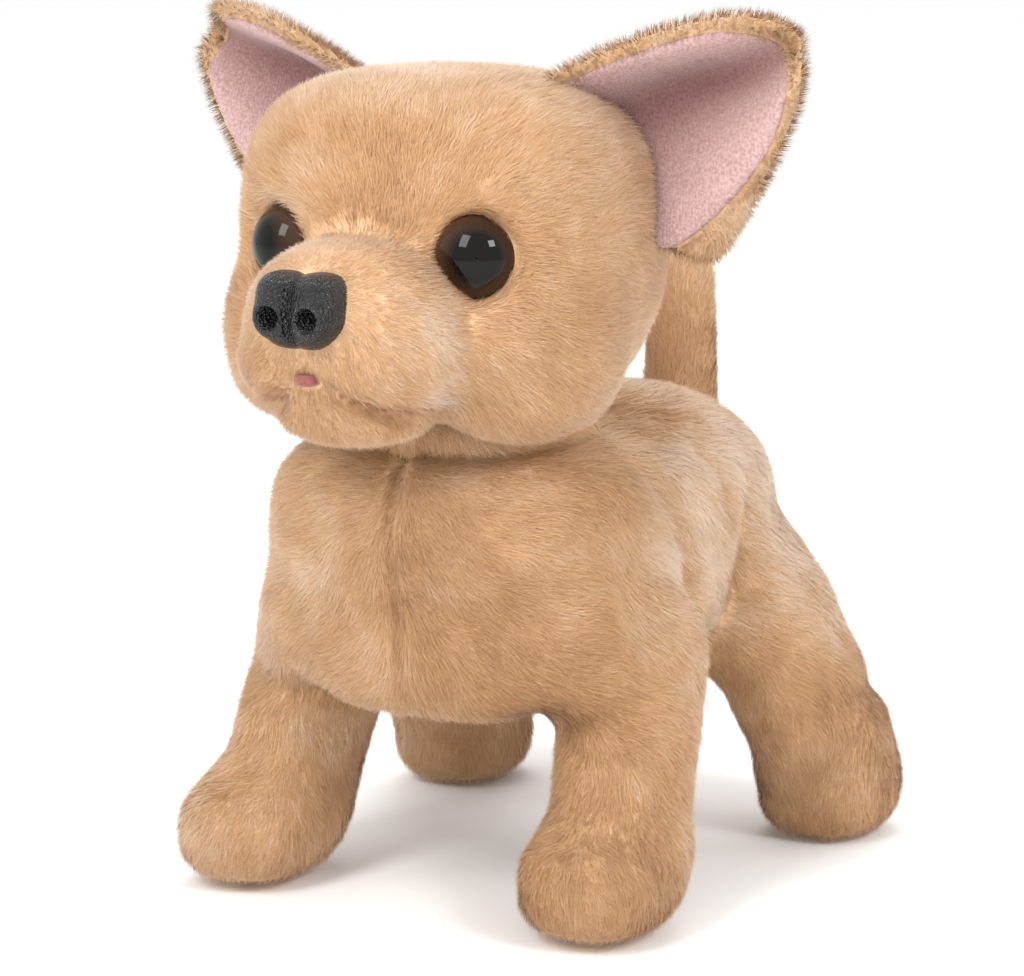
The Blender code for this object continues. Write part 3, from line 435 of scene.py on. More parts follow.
# Sewn creases and folds on the left side, mirrored to the right: points, width,
# depth, and the axis that they are drawn along
BODY_CREASES = (
    (((0, -60, 108), (0, -60, 42)), 0.95, 1.3, 1),
    (((44, -20, 101), (44, -10, 87), (44, -4, 73), (44, -9, 54)), 4.0, 2.1, 0),
    (((44, 8, 104), (44, 14, 92), (44, 16, 80)), 3.6, 1.2, 0),
    (((26, -56, 45), (38, -56, 43), (52, -56, 49)), 4.6, 1.8, 1),
    (((56, 64, 38), (56, 50, 34), (56, 32, 37)), 4.6, 1.5, 0),
    (((46, 12, 42), (46, 18, 55), (46, 21, 70), (46, 30, 88)), 4.2, 2.2, 0),
)


def torso_field(p):
    x, y, z = p
    leaned = (x, y + 0.10 * (z - 78.0) * np.clip(-y / 60.0, 0, 1), z)
    trunk = rounded_form(leaned, (0, -1.4, 73.2), (40.8, 60.6, 30.6), 2.7, 3.6)
    back = rounded_form(p, (0, 27, 84), (32.6, 37, 20.8))
    chest = rounded_form(p, (0, -37, 85), (39.9, 25.5, 21.5), 2.5)
    brisket = rounded_form(p, (0, -43, 57.4), (33.5, 17.5, 15.8), 2.6)
    body = smooth_min(smooth_min(smooth_min(trunk, back, 8), chest, 8), brisket, 6)
    haunch = both_sides(p, rounded_form, (33.4, 39, 54.5), (15.6, 20.0, 20.0))
    shoulder = both_sides(p, rounded_form, (31.8, -35.4, 61), (14.6, 18.8, 17.4))
    body = smooth_min(smooth_min(body, haunch, 7), shoulder, 7)
    root = limb(p, (0, 50, TAIL_ROOT_Z), (0, 66, TAIL_ROOT_Z), 12.0, 7.5)
    return smooth_max(smooth_min(body, root, 6), BELLY_Z - z, 5)


def leg_field(p):
    front = smooth_min(both_sides(p, rounded_form, FRONT_PAW, (15.2, 19.2, 12.2), 2.5),
                       both_sides(p, limb, (43.0, -40.2, 20), (38.6, -26, 56), 13.6, 14.6, 1.25), 7)
    hind = smooth_min(both_sides(p, rounded_form, HIND_PAW, (14.8, 17.4, 12.0), 2.5),
                      both_sides(p, limb, (49.8, 45.2, 26), (40.6, 36.4, 50), 14.6, 14.2, 1.38), 7)
    return np.minimum(front, hind)


def body_outside(p):
    """Outer surface of torso and legs together, with folds and seams."""
    body = smooth_min(torso_field(p), leg_field(p), 7.0)
    body = smooth_max(body, SOLE_Z - p[2], 1.5)
    for fold in BODY_CREASES:
        body = body + crease(p, *fold)
    return body


def hatch_field(p):
    """Opening round the battery hatch and the switch under the belly."""
    x, y, z = p
    middle = [(a + b) / 2 for a, b in zip(HATCH_LOW, HATCH_HIGH)]
    half = [(b - a) / 2 for a, b in zip(HATCH_LOW, HATCH_HIGH)]
    across = np.maximum(np.abs(x - middle[0]) - half[0], np.abs(y - middle[1]) - half[1])
    return np.maximum(across, z - HATCH_CEILING)


def body_shell(p):
    outside = body_outside(p)
    shell = np.maximum(outside, -(outside + SKIN_THICKNESS))
    return np.maximum(shell, -hatch_field(p))


# ------------------------------------------------------------ head and collar

EYE_AT = (24.6, -69.0, 146.4)
EYE_AXIS = (0.5, -0.862, 0.05)
EYE_RADIUS = 9.0
NOSE_AT = (0.0, -96.5, 137.0)
TONGUE_AT = (0.0, -94.9, 122.3)
NECK_HOLE_RADIUS = 19.0
NECK_HOLE_TOP = 122.0

MOUTH = ((0, -97, 121.6), (5, -95, 120.2), (10, -89, 117.6), (13.5, -83, 115.0), (18, -73, 112.6))
MUZZLE_SEAM = ((0, -75.5, 148.5), (9, -75, 147), (15.5, -74.5, 142.6), (20.6, -74, 137), (22.6, -73.5, 130),
               (22.2, -74, 123), (19.5, -75, 116))
HEAD_CREASES = (
    (MOUTH, 2.1, 2.3),
    (((0, -94, 131), (0, -94, 122)), 1.2, 1.0, 1),
    (MUZZLE_SEAM, 2.4, -0.8, 1),
)


def head_outside(p):
    rear = np.clip((p[1] + 40.0) / 25.0, 0, 1)
    front_block = rounded_form(p, (0, -34.5, 145.6), (42.5, 38.2, 36.5), 3.4, 3.4)
    rear_block = rounded_form(p, (0, -34.5, 145.8), (42.5, 36.6, 36.3), 2.5)
    head = front_block * (1 - rear) + rear_block * rear
    cheek = both_sides(p, rounded_form, (26.4, -52.0, 124.0), (16.4, 19.0, 16.8), 2.3)
    muzzle = rounded_form(p, (0, -73.0, 130.0), (22.6, 24.0, 17.4), 2.5)
    bridge = rounded_form(p, (0, -80.0, 139.0), (12.0, 16.5, 8.6), 2.3)
    lips = both_sides(p, rounded_form, (9.5, -83.0, 124.0), (10.5, 12.0, 7.2))
    jaw = rounded_form(p, (0, -77.0, 114.6), (15.6, 15.6, 7.0), 2.3)
    head = smooth_min(head, cheek, 9)
    snout = smooth_min(smooth_min(smooth_min(muzzle, bridge, 6), lips, 5), jaw, 2.5)
    head = smooth_min(head, snout, 3.5)
    for fold in HEAD_CREASES:
        head = head + crease(p, *fold)
    socket = both_sides(p, rounded_form, EYE_AT, (9.4, 4.4, 9.4))
    return smooth_max(head, -socket, 2)


def head_shell(p):
    outside = head_outside(p)
    shell = np.maximum(outside, -(outside + SKIN_THICKNESS))
    neck = np.hypot(p[0], p[1] - NOD_PIVOT[1]) - NECK_HOLE_RADIUS
    return np.maximum(shell, -np.maximum(neck, p[2] - NECK_HOLE_TOP))


def collar_outside(p):
    """Loose sleeve of plush between the torso and the head."""
    return rounded_form(p, (0, -35.0, 103.5), (28.5, 23.0, 13.0), 2.4, 2.6)


def collar_shell(p):
    outside = collar_outside(p)
    return np.maximum(outside, -(outside + SKIN_THICKNESS))


def tail_outside(p):
    upright = limb(p, (-3.2, 73.5, 82), (-2.2, 73, 126), 9.4, 7.3)
    heel = limb(p, (0, 60, TAIL_ROOT_Z), (0, 72, TAIL_ROOT_Z + 2.5), 5.8, 7.2)
    return smooth_min(upright, heel, 4)


# ----------------------------------------------------------------------- pile

def unit(vectors):
    return vectors / np.maximum(np.linalg.norm(vectors, axis=1, keepdims=True), 1e-9)


def sample_skin(vertices, faces, rng, keep=None):
    """Random roots spread evenly over the skin, with their normals."""
    normals = vertex_normals(vertices, faces)
    triangles = np.concatenate((faces[:, [0, 1, 2]], faces[:, [0, 2, 3]]))
    a, b, c = (vertices[triangles[:, i]] for i in range(3))
    area = np.linalg.norm(np.cross(b - a, c - a), axis=1) / 2
    count = int(area.sum() * DENSITY)
    chosen = rng.choice(len(area), count, p=area / area.sum())
    u, v = rng.random(count), rng.random(count)
    folded = u + v > 1
    u, v = np.where(folded, 1 - u, u), np.where(folded, 1 - v, v)
    weights = np.stack((1 - u - v, u, v), 1)[:, :, None]
    corners = triangles[chosen]
    roots = (vertices[corners] * weights).sum(1)
    directions = unit((normals[corners] * weights).sum(1))
    if keep is not None:
        kept = keep(roots, directions)
        roots, directions = roots[kept], directions[kept]
    return roots, directions


def turn_about(vectors, axes, angles):
    """Rotate each vector, which is square to its axis, by its angle."""
    return vectors * np.cos(angles)[:, None] + np.cross(axes, vectors) * np.sin(angles)[:, None]


def grow_pile(name, roots, normals, comb, length, tone, lift, materials, rng):
    """Tapering blades combed over the skin, as one or more objects."""
    count = len(roots)
    along = comb - normals * (comb * normals).sum(1, keepdims=True)
    along = unit(along + rng.normal(0, 0.02, along.shape))
    along = unit(along - normals * (along * normals).sum(1, keepdims=True))
    swirl = (0.60 * lattice_noise(roots, 13.0, 3) + 0.35 * lattice_noise(roots, 4.5, 5)
             + rng.normal(0, 0.20, count))
    along = turn_about(along, normals, swirl)
    rise = lift + 0.14 * lattice_noise(roots, 8.0, 7) + 0.10 * lattice_noise(roots, 2.4, 8)
    rise = np.clip(rise + rng.normal(0, 0.10, count), 0.12, 2.5)[:, None]
    size = (length * rng.uniform(0.65, 1.1, count))[:, None]
    across = turn_about(np.cross(along, normals), along, rng.normal(0, 0.4, count))
    half = (STRAND_WIDTH * rng.uniform(0.8, 1.2, count) / 2)[:, None]
    base = roots - normals * ROOT_DEPTH
    tip = base + unit(along + normals * rise) * size
    corners = np.stack((base - across * half, base + across * half, tip), 1)
    shade = np.clip(tone + rng.normal(0, 0.8, count), 0, len(materials) - 1e-3).astype(int)
    soft = unit(normals + 0.35 * np.cross(across, along) + rng.normal(0, 0.10, normals.shape) + 0.42 * along)
    objects = []
    pieces = max(1, math.ceil(count / STRANDS_PER_PIECE))
    for index in range(pieces):
        part = slice(index, None, pieces)
        suffix = "" if pieces == 1 else "_%d" % (index + 1)
        objects.append(strand_object(name + suffix, corners[part], shade[part], soft[part], materials))
    return objects


def strand_object(name, corners, shade, normals, materials):
    faces = np.arange(3 * len(corners)).reshape(-1, 3)
    obj = mesh_object(name, corners.reshape(-1, 3), faces, materials)
    obj.data.polygons.foreach_set("material_index", shade.astype(np.int32))
    obj.data.normals_split_custom_set_from_vertices(np.repeat(normals, 3, axis=0))
    return obj


def smooth_step(value, low, high):
    share = np.clip((value - low) / (high - low), 0, 1)
    return share * share * (3 - 2 * share)


def columns(points):
    return points[:, 0], points[:, 1], points[:, 2]


def body_comb(points, _normals):
    """Outward from the chest seam and back along the flanks; down the legs."""
    x, _, z = columns(points)
    sideways = np.tanh(x / 5.0)
    body = np.stack((sideways, np.full_like(x, 0.7), np.full_like(x, -0.75)), 1)
    upper = smooth_step(z, 14, 40)
    leg = np.stack((0.2 * sideways, -0.45 + 0.6 * upper, np.full_like(x, -1.0)), 1)
    share = (smooth_step(z, 34, 52) + (1 - smooth_step(np.abs(x), 18, 26)))[:, None]
    return body * np.clip(share, 0, 1) + leg * (1 - np.clip(share, 0, 1))


def head_comb(points, _normals):
    """Away from the nose over the whole face, and down behind it."""
    away = unit(points - (0.0, -90.0, 137.0))
    back = smooth_step(points[:, 1], -45, -15)[:, None]
    return away * (1 - 0.5 * back) + np.array((0.0, 0.4, -0.8)) * back


def upward_comb(points, _normals):
    return np.tile((0.0, 0.1, 1.0), (len(points), 1))


def plush_tone(points, painted_shade_creases=()):
    """Tone of the pile: random blotches of nap, and painted shade along the sewn creases."""
    tone = (MEAN_TONE + 1.0 * lattice_noise(points, 19.0, 11) + 0.8 * lattice_noise(points, 7.0, 12)
            + 0.5 * lattice_noise(points, 2.8, 13))
    p = columns(points)
    for line, width, depth, *axis in painted_shade_creases:
        # painted shade: the pile is darker along each crease
        tone = tone - 0.9 * crease(p, line, width * 1.2, 1.0, *axis) * min(depth, 1.8)
    return tone


def body_tone(points):
    """Painted sheen: the flanks and the rump are paler, as where light falls, and the chest's right half is paler
    than its left. The pile is also darker low on the hind legs.
    """
    x, y, z = columns(points)
    # painted sheen: the flanks behind the shoulders and the rump are paler
    flank_sheen = smooth_step(np.abs(x), 24, 34) * smooth_step(y, -30, -8) * smooth_step(z, 42, 56)
    rump_sheen = smooth_step(y, 8, 30) * smooth_step(z, 60, 78)
    hind = smooth_step(y, 0, 20) * (1 - smooth_step(z, 35, 55))
    # painted sheen: the chest's right half paler, its left half darker
    chest = np.tanh(x / 12) * smooth_step(-y, 35, 50)
    return plush_tone(points, BODY_CREASES) + 2.0 * flank_sheen + 1.7 * rump_sheen - 0.6 * hind - 0.5 * chest


def tail_tone(points):
    return plush_tone(points) - 0.7


def ear_tone_painted_light(points):
    # painted light: the ear pile is paler to make up for the shade on its rim fibres
    return plush_tone(points) + 0.9


def face_tone(points):
    """Paler muzzle, with a painted highlight along its seam to the cheeks and painted shade beside it; the crown
    is painted paler, as lit from above.
    """
    p = columns(points)
    tone = plush_tone(points, HEAD_CREASES[:2])
    muzzle = rounded_form(p, (0, -73.0, 130.0), (23.6, 25.0, 19.5), 2.4)
    tone = tone + 0.4 * smooth_step(-muzzle, -2, 2) * smooth_step(-p[1], 70, 78)
    # painted highlight: the crown is paler towards the top of the head
    tone = tone + 0.9 * smooth_step(points[:, 2], 170, 180)
    # painted highlight along the muzzle seam's ridge, and painted shade to each side of it
    return tone + 2.2 * crease(p, MUZZLE_SEAM, 2.0, 1.0, 1) - 0.9 * crease(p, MUZZLE_SEAM, 7.0, 1.0, 1)


def outer_only(vertices, quads, field):
    """Which faces lie on the outer side of a shell."""
    middle = vertices[quads].mean(1)
    return field(columns(middle)) > -0.5 * SKIN_THICKNESS


def finish_soft(obj, body, replaced=()):
    """Attach a soft piece to its body and hide the CAD parts that it stands for; a piece given two bodies is only
    fixed in place.
    """
    if isinstance(body, str):
        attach(obj, body)
    else:
        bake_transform(obj)
    if replaced:
        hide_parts(*replaced)


def coat(name, vertices, faces, comb, length, tone, materials, seed, body, keep=None, lift=0.42):
    """Grow the pile on a skin and make it move with that skin."""
    rng = np.random.default_rng(seed)
    roots, normals = sample_skin(vertices, faces, rng, keep)
    size = length(roots) if callable(length) else length
    rise = lift(roots) if callable(lift) else lift
    made = grow_pile(name, roots, normals, comb(roots, normals), size, tone(roots), rise, materials, rng)
    for obj in made:
        finish_soft(obj, body)


def clear_of_hatch(roots, _normals):
    """A bare border round the hatch leaves room for the door to swing."""
    return hatch_field(columns(roots)) > HATCH_BORDER


def clear_of_floor(roots, normals):
    return (normals[:, 2] > -0.75) | (roots[:, 2] > 6.0)


def leg_name(x, y):
    return "%s_%s_leg" % ("front" if y < 0 else "hind", "left" if x > 0 else "right")


def make_body(backing, pile):
    vertices, quads = skin_from(body_shell, (-72, -78, -3), (72, 84, 112))
    middle = vertices[quads].mean(1)
    outer = outer_only(vertices, quads, body_outside)
    below = middle[:, 2] < LEG_CUT_Z
    skin_vertices, skin_faces = part_of(vertices, quads, ~below)
    skin = mesh_object("body_skin", skin_vertices, skin_faces, backing)
    finish_soft(skin, "torso", ("body_plush_left", "body_plush_right"))

    coat("body_pile", *part_of(vertices, quads, ~below & outer), body_comb, PILE_LENGTH,
         body_tone, pile, 21, "torso", clear_of_hatch)
    for seed, (x, y) in enumerate(((1, -1), (-1, -1), (1, 1), (-1, 1))):
        name = leg_name(x, y)
        own = below & (middle[:, 0] * x > 0) & (middle[:, 1] * y > 0)
        centre = (x * 44.0, y * 40.0)
        bend = ("torso", name, tuple(to_row((*centre, LEG_CUT_Z))), tuple(to_row((*centre, LEG_FREE_Z))))
        leg_vertices, leg_faces = part_of(vertices, quads, own)
        leg = mesh_object(name + "_skin", leg_vertices, leg_faces, backing)
        finish_soft(leg, bend, (name + "_plush",))
        coat(name + "_pile", *part_of(vertices, quads, own & outer), body_comb, PILE_LENGTH * 0.85,
             body_tone, pile, 31 + seed, bend, clear_of_floor)


def make_collar(backing, pile):
    vertices, quads = skin_from(collar_shell, (-40, -70, 84), (40, 0, 122))
    bend = ("torso", "head", tuple(to_row((0, -36, 95))), tuple(to_row((0, -36, 110))))
    skin = mesh_object("collar_skin", vertices, quads, backing)
    shown = collar_outside(columns(vertices[quads].mean(1))) > -0.8
    finish_soft(skin, bend, ("neck_plush",))
    coat("collar_pile", *part_of(vertices, quads, shown), body_comb, PILE_LENGTH, plush_tone, pile, 41, bend)


def make_tail(backing, pile):
    vertices, quads = skin_from(tail_outside, (-14, 50, 60), (12, 92, 142))
    skin = mesh_object("tail_skin", vertices, quads, backing)
    finish_soft(skin, "tail", ("tail_plush",))
    coat("tail_pile", vertices, quads, upward_comb, PILE_LENGTH * 0.9, tail_tone, pile, 51, "tail")


# ----------------------------------------------------------------------- head

def eye_place(side):
    at = np.array((side * EYE_AT[0], EYE_AT[1], EYE_AT[2]))
    axis = np.array((side * EYE_AXIS[0], EYE_AXIS[1], EYE_AXIS[2]))
    return at, axis / np.linalg.norm(axis)


def clear_of_face(roots, _normals):
    """No pile grows under the eyes, the nose or the tongue."""
    keep = rounded_form(columns(roots), NOSE_AT, (9.0, 7.6, 7.6)) > 0
    keep &= rounded_form(columns(roots), TONGUE_AT, (3.0, 4.0, 1.3)) > 0
    for side in (1, -1):
        at, axis = eye_place(side)
        offset = roots - at
        along = offset @ axis
        away = np.linalg.norm(offset - along[:, None] * axis, axis=1)
        keep &= (away > EYE_RADIUS - 1.5) | (along < -12)
    return keep


def face_length(points):
    """Short pile round the nose and mouth, longer over the cheeks and crown."""
    away = np.linalg.norm(points - np.array(NOSE_AT), axis=1)
    return PILE_LENGTH * (0.6 + 0.4 * smooth_step(away, 10, 40))


def make_head(backing, pile):
    vertices, quads = skin_from(head_shell, (-54, -100, 98), (54, 12, 192))
    skin = mesh_object("head_skin", vertices, quads, backing)
    finish_soft(skin, "head", ("head_plush_left", "head_plush_right"))
    outer = outer_only(vertices, quads, head_outside)
    coat("head_pile", *part_of(vertices, quads, outer), head_comb, face_length, face_tone, pile, 61, "head",
         clear_of_face)


def turned_object(name, profile, material, at, axis, segments=64):
    """Turned piece with its own origin, so that its shader knows its radius."""
    angles = 2 * np.pi * np.arange(segments) / segments
    vertices = np.array([(r * math.cos(a), r * math.sin(a), h) for r, h in profile for a in angles])
    rows = np.arange(len(profile) - 1)[:, None] * segments
    here, following = np.arange(segments), (np.arange(segments) + 1) % segments
    faces = np.stack((rows + here, rows + following, rows + following + segments, rows + here + segments), -1)
    obj = mesh_object(name, vertices - (0, SHIFT_Y, 0), faces.reshape(-1, 4), material)
    turn = Vector(axis).to_track_quat("Z", "Y").to_matrix().to_4x4()
    obj.matrix_world = Matrix.Translation(to_row(at)) @ turn
    return obj


def eye_material():
    """Glossy black eye that thins to dark brown at its rim."""
    made = principled("eye_gloss", (0.006, 0.0035, 0.003), 0.06, Specular_IOR_Level=0.22)
    tree = made.node_tree
    place = node(tree, "ShaderNodeTexCoord")
    split = node(tree, "ShaderNodeSeparateXYZ")
    flat = node(tree, "ShaderNodeCombineXYZ")
    radius = node(tree, "ShaderNodeVectorMath", operation="LENGTH")
    ramp = node(tree, "ShaderNodeValToRGB")
    spread = node(tree, "ShaderNodeMapRange")
    spread.inputs["From Min"].default_value = 0.0048
    spread.inputs["From Max"].default_value = 0.0092
    ramp.color_ramp.elements[0].color = (0.004, 0.0035, 0.003, 1)
    ramp.color_ramp.elements[1].color = (0.075, 0.036, 0.019, 1)
    tree.links.new(place.outputs["Object"], split.inputs["Vector"])
    tree.links.new(split.outputs["X"], flat.inputs["X"])
    tree.links.new(split.outputs["Y"], flat.inputs["Y"])
    tree.links.new(flat.outputs["Vector"], radius.inputs[0])
    tree.links.new(radius.outputs["Value"], spread.inputs["Value"])
    tree.links.new(spread.outputs["Result"], ramp.inputs["Fac"])
    tree.links.new(ramp.outputs["Color"], tree.nodes["Principled BSDF"].inputs["Base Color"])
    return made


def make_eyes():
    gloss = eye_material()
    sweep = np.linspace(0, math.pi / 2 - 0.02, 22)
    dome = [(EYE_RADIUS * math.cos(a), -3.2 + 8.2 * math.sin(a)) for a in sweep]
    profile = [(2.6, -13.0), (2.6, -4.6), (8.6, -4.6), (EYE_RADIUS, -4.0)] + dome
    for side, word in ((1, "left"), (-1, "right")):
        at, axis = eye_place(side)
        eye = turned_object("eye_%s_ball" % word, profile, gloss, at, axis)
        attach(eye, "head")
        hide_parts("eye_" + word)


def nose_field(p):
    """Broad pebbled brow over two ringed nostrils, narrowing to the lip."""
    q = [c - m for c, m in zip(p, NOSE_AT)]
    brow = both_sides(q, rounded_form, (4.5, 0.2, 3.2), (5.3, 6.2, 4.6), 2.3)
    wing = both_sides(q, rounded_form, (4.9, 0.0, -0.8), (5.2, 6.3, 5.0), 2.3)
    base = both_sides(q, rounded_form, (2.9, 0.4, -4.4), (4.2, 5.6, 3.6), 2.2)
    nose = smooth_min(smooth_min(brow, wing, 1.6), base, 2.5)
    nose = smooth_min(nose, rounded_form(q, (0, 1.0, -0.4), (5.0, 6.0, 6.6)), 2.5)
    ring = np.hypot(np.hypot(np.abs(q[0]) - 4.7, q[2] + 1.5) - 3.0, q[1] + 5.3) - 0.8
    nose = smooth_min(nose, ring, 1.2)
    nostril = both_sides(q, rounded_form, (4.6, -6.4, -1.3), (2.3, 4.6, 2.2))
    nose = smooth_max(nose, -nostril, 0.7)
    groove = np.hypot(q[0] / 0.7, (q[1] + 6.9) / 1.7) - 1.0
    return smooth_max(nose, -groove, 1.6)


def nose_material():
    made = principled("nose_plastic", (0.016, 0.016, 0.018), 0.14, Specular_IOR_Level=0.4)
    pattern = colour_from_noise(made, 120.0, ((0.009, 0.009, 0.010), (0.022, 0.021, 0.022)))
    tree = made.node_tree
    pebble = node(tree, "ShaderNodeTexVoronoi", Scale=1500.0)
    tree.links.new(pattern.inputs["Vector"].links[0].from_socket, pebble.inputs["Vector"])
    add_bump(made, pebble.outputs["Distance"], 0.9, 0.0008)
    return made


def make_nose_and_tongue():
    low, high = np.array(NOSE_AT) - (12, 10, 10), np.array(NOSE_AT) + (12, 10, 10)
    vertices, quads = skin_from(nose_field, low, high, NOSE_CELL, 1)
    nose = mesh_object("nose_cap", vertices, quads, nose_material())
    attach(nose, "head")
    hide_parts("nose")

    def tongue_field(p):
        tip = rounded_form(p, TONGUE_AT, (2.7, 3.2, 1.3), 2.4)
        return tip + crease(p, ((0, -99, 123.8), (0, -92, 123.8)), 0.7, 0.3)

    low, high = np.array(TONGUE_AT) - 6, np.array(TONGUE_AT) + 6
    vertices, quads = skin_from(tongue_field, low, high, NOSE_CELL, 1)
    finish = knit_fabric("tongue_felt", (0.25, 0.065, 0.05), (0.38, 0.12, 0.095), 900.0)
    tongue = mesh_object("tongue_tip", vertices, quads, finish)
    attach(tongue, "head")
    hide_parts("tongue")


# ----------------------------------------------------------------------- ears

EAR_CORNERS = ((20.0, -41.0, 180.0), (85.9, -25.0, 199.3), (56.0, -22.9, 140.4))
# How round the outline is where its top edge meets the outer one, and at the base
EAR_ROUNDING = {1: 27.0, 2: 7.0}
EAR_BULGES = (3.8, 2.0, 9.0)
EAR_HALF_THICKNESS = 1.5
LINING_HALF_THICKNESS = 1.5
# How deep the middle of the lining's sheet lies behind the ear's face
LINING_DEPTH = 0.8
EAR_EDGE = 0.6
EAR_VALLEY_DEPTH = 14.0
# How far the lining stays inside the top, the outer and the base edge
LINING_RIMS = (2.6, 2.0, -1.0)
LINING_FOOT = 9.0
# Tint of the painted shade along the valley of the ear lining
FOLD_SHADE_TINT = (0.5, 0.40, 0.385, 1)


class EarFrame:
    """Axes of one ear: u from its base to its tip, v towards its top edge, w forward."""

    def __init__(self, side):
        corners = [np.array((side * x, y, z)) for x, y, z in EAR_CORNERS]
        self.middle = sum(corners) / 3
        w = np.cross(corners[1] - corners[0], corners[2] - corners[0])
        w = w / np.linalg.norm(w)
        self.w = -w if w[1] > 0 else w
        along = corners[1] - (corners[0] + corners[2]) / 2
        self.u = along / np.linalg.norm(along)
        self.v = np.cross(self.w, self.u) * side
        self.axes = np.stack((self.u, self.v, self.w))
        self.flat = [(self.axes[:2] @ (c - self.middle)) for c in corners]

    def to_design(self, local):
        return self.middle + local @ self.axes

    def to_local(self, points):
        return (points - self.middle) @ self.axes.T

    def outline(self, u, v, rims=(0.0, 0.0, 0.0)):
        """Signed distance to the ear's rounded triangle, below zero inside."""
        distance = None
        for index in range(3):
            a, b = self.flat[index], self.flat[(index + 1) % 3]
            span = np.linalg.norm(b - a)
            edge = (b - a) / span
            normal = np.array((edge[1], -edge[0]))
            if normal @ a < 0:
                normal = -normal
            share = np.clip(((u - a[0]) * edge[0] + (v - a[1]) * edge[1]) / span, 0, 1)
            bulge = EAR_BULGES[index] * np.sin(np.pi * share)
            side = (u - a[0]) * normal[0] + (v - a[1]) * normal[1] - bulge + rims[index]
            distance = side if distance is None else smooth_max(distance, side, EAR_ROUNDING[index])
        return distance

    def valley(self, u, v):
        """From 1 along the valley, base to tip, down to 0 at the ear's edges."""
        reach = np.maximum(self.flat[1][0] - u, 6.0) / (self.flat[1][0] - self.flat[0][0])
        top, bottom = self.flat[0][1] * reach, self.flat[2][1] * reach
        valley = bottom + (0.66 - 0.3 * smooth_step(u, -5, 30)) * (top - bottom)
        above = np.clip((v - valley) / (top - valley), 0, 1)
        below = np.clip((valley - v) / (valley - bottom), 0, 1)
        upper = 0.5 + 0.5 * np.cos(np.pi * above)
        lower = (0.5 + 0.5 * np.cos(np.pi * below)) ** 1.5
        return np.where(v > valley, upper, lower)

    def dish(self, u, v):
        """How far the sheet is pushed back."""
        return EAR_VALLEY_DEPTH * self.valley(u, v) * (1 - 0.75 * smooth_step(u, -4, 38))


def paint_fold_shade(made):
    """Darken and warm a knit where its fold attribute is high: painted shade along the ear's valley."""
    tree = made.node_tree
    shader = tree.nodes["Principled BSDF"]
    before = shader.inputs["Base Color"].links[0].from_socket
    fold = node(tree, "ShaderNodeAttribute", attribute_name="fold")
    shade = node(tree, "ShaderNodeMix", data_type="RGBA")
    colours = [socket for socket in shade.inputs if socket.type == "RGBA"]
    colours[0].default_value = (1, 1, 1, 1)
    colours[1].default_value = FOLD_SHADE_TINT
    tint = node(tree, "ShaderNodeVectorMath", operation="MULTIPLY")
    tree.links.new(fold.outputs["Fac"], shade.inputs[0])
    tree.links.new(before, tint.inputs[0])
    result = [socket for socket in shade.outputs if socket.type == "RGBA"][0]
    tree.links.new(result, tint.inputs[1])
    tree.links.new(tint.outputs["Vector"], shader.inputs["Base Color"])
    return made


def make_ear(side, backing, pile, knit):
    word = "left" if side > 0 else "right"
    ear = EarFrame(side)
    flipped = np.linalg.det(ear.axes) < 0

    def back_field(p):
        u, v, w = p
        sheet = np.abs(w + ear.dish(u, v) + EAR_HALF_THICKNESS) - EAR_HALF_THICKNESS
        return smooth_max(sheet, ear.outline(u, v) + EAR_EDGE, 2.4)

    def lining_outline(u, v):
        rims = ear.outline(u, v, LINING_RIMS) + EAR_EDGE
        return smooth_max(rims, ear.flat[2][1] + LINING_FOOT - v, 5.0)

    def lining_field(p):
        u, v, w = p
        sheet = np.abs(w + ear.dish(u, v) + LINING_DEPTH) - LINING_HALF_THICKNESS
        return smooth_max(sheet, lining_outline(u, v), 1.0)

    low, high = (-36, -46, -24), (50, 46, 6)
    local, quads = skin_from(back_field, low, high, EAR_CELL, 1)
    vertices = ear.to_design(local)
    if flipped:
        quads = quads[:, ::-1]
    skin = mesh_object("ear_%s_skin" % word, vertices, quads, backing)
    finish_soft(skin, "head", ("ear_back_" + word,))
    local, faces = skin_from(lining_field, low, high, LINING_CELL, 1)
    if flipped:
        faces = faces[:, ::-1]
    lining = mesh_object("ear_%s_knit" % word, ear.to_design(local), faces, knit)
    # The fold attribute says where painted shade darkens the lining along the ear's valley.
    fold = ear.valley(local[:, 0], local[:, 1]) * (1 - 0.5 * smooth_step(local[:, 0], 5, 32))
    lining.data.attributes.new("fold", "FLOAT", "POINT").data.foreach_set("value", fold.astype(np.float32))
    finish_soft(lining, "head", ("ear_lining_" + word,))

    def clear_of_lining(roots, normals):
        place = ear.to_local(roots)
        return (normals @ ear.w < 0.0) | (lining_outline(place[:, 0], place[:, 1]) > 0.2)

    def beside_lining(roots):
        """From 1 at the edge of the knit down to 0 further out."""
        place = ear.to_local(roots)
        return 1 - smooth_step(lining_outline(place[:, 0], place[:, 1]), 0.8, 3.0)

    def ear_comb(roots, normals):
        """Outward, but mixed in direction where the pile borders on the knit."""
        outward = unit(ear.to_local(roots) * (1, 1, 0) + (8.0, 0, 0))
        mixed = (beside_lining(roots) > 0.1) & (normals @ ear.w > 0.0) & (lattice_noise(roots, 0.4, 9) > 0.0)
        return (outward * np.where(mixed, -1.0, 1.0)[:, None]) @ ear.axes

    def ear_lift(roots):
        return 0.9 + 1.3 * beside_lining(roots)

    coat("ear_%s_pile" % word, vertices, quads, ear_comb, PILE_LENGTH * 0.75, ear_tone_painted_light, pile, 71 + side,
         "head", clear_of_lining, ear_lift)


# ---------------------------------------------------------------------- stage

FLOOR_HALF = 20000.0
LIGHTS_HEIGHT = 0.1


def towards(azimuth, elevation):
    """Direction to a place round the object, from angles in degrees."""
    a, e = math.radians(azimuth), math.radians(elevation)
    return Vector((math.sin(a) * math.cos(e), -math.cos(a) * math.cos(e), math.sin(e)))


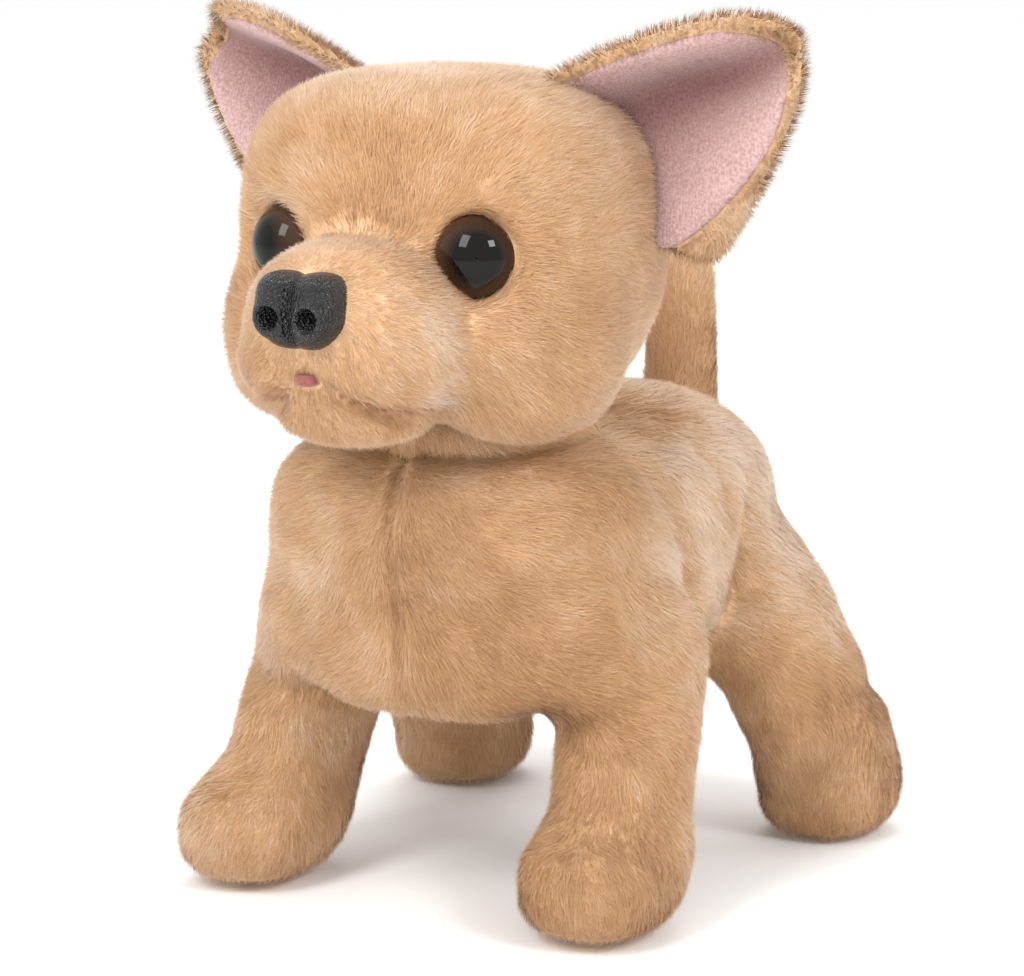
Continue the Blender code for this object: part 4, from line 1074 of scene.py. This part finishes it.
def make_camera():
    back = towards(CAMERA_AZIMUTH, CAMERA_ELEVATION)
    data = bpy.data.cameras.new("camera")
    data.sensor_width = SENSOR_WIDTH
    data.lens = CAMERA_LENS
    data.clip_start = 0.01
    camera = bpy.data.objects.new("camera", data)
    bpy.context.scene.collection.objects.link(camera)
    camera.location = Vector(to_row(CAMERA_TARGET)) + back * CAMERA_DISTANCE * MM
    camera.rotation_euler = back.to_track_quat("Z", "Y").to_euler()
    bpy.context.scene.camera = camera


def soft_box(name, azimuth, elevation, distance, size, power, colour=(1.0, 1.0, 1.0)):
    """Area light aimed at the object; its distance and size are in metres."""
    data = bpy.data.lights.new(name, "AREA")
    data.shape = "RECTANGLE"
    data.size, data.size_y = size
    data.energy = power
    data.color = colour
    light = bpy.data.objects.new(name, data)
    bpy.context.scene.collection.objects.link(light)
    back = towards(azimuth, elevation)
    light.location = back * distance + Vector((0, 0, LIGHTS_HEIGHT))
    light.rotation_euler = back.to_track_quat("Z", "Y").to_euler()


def make_stage():
    floor_finish = principled("studio_floor", (0.99, 0.99, 0.99), 0.95)
    corners = np.array(((-1, -1, 0), (1, -1, 0), (1, 1, 0), (-1, 1, 0))) * FLOOR_HALF
    floor = mesh_object("floor", corners, np.array(((0, 1, 2, 3),)), floor_finish, smooth=False)
    world = bpy.data.worlds.new("studio")
    world.use_nodes = True
    world.node_tree.nodes["Background"].inputs["Color"].default_value = (1.0, 1.0, 1.0, 1.0)
    world.node_tree.nodes["Background"].inputs["Strength"].default_value = 1.0
    bpy.context.scene.world = world
    soft_box("key", -8, 40, 1.2, (0.4, 0.6), 7.0, (1.0, 0.99, 0.97))
    soft_box("fill", 70, 34, 1.2, (0.3, 0.3), 5.0, (0.98, 0.99, 1.0))
    soft_box("back", 200, 55, 1.4, (0.8, 0.5), 4.0)
    bpy.context.scene.view_settings.view_transform = "Standard"


def main():
    make_camera()
    make_stage()
    dress_cad_nodes()
    backing, pile = plush_backing(), pile_materials()
    make_body(backing, pile)
    make_collar(backing, pile)
    make_tail(backing, pile)
    make_head(backing, pile)
    make_eyes()
    make_nose_and_tongue()
    # The ear knit carries painted shade along the valley of each ear.
    knit = paint_fold_shade(knit_fabric("ear_knit", (0.43, 0.25, 0.238), (0.655, 0.44, 0.425), 420.0))
    for side in (1, -1):
        make_ear(side, backing, pile, knit)


main()
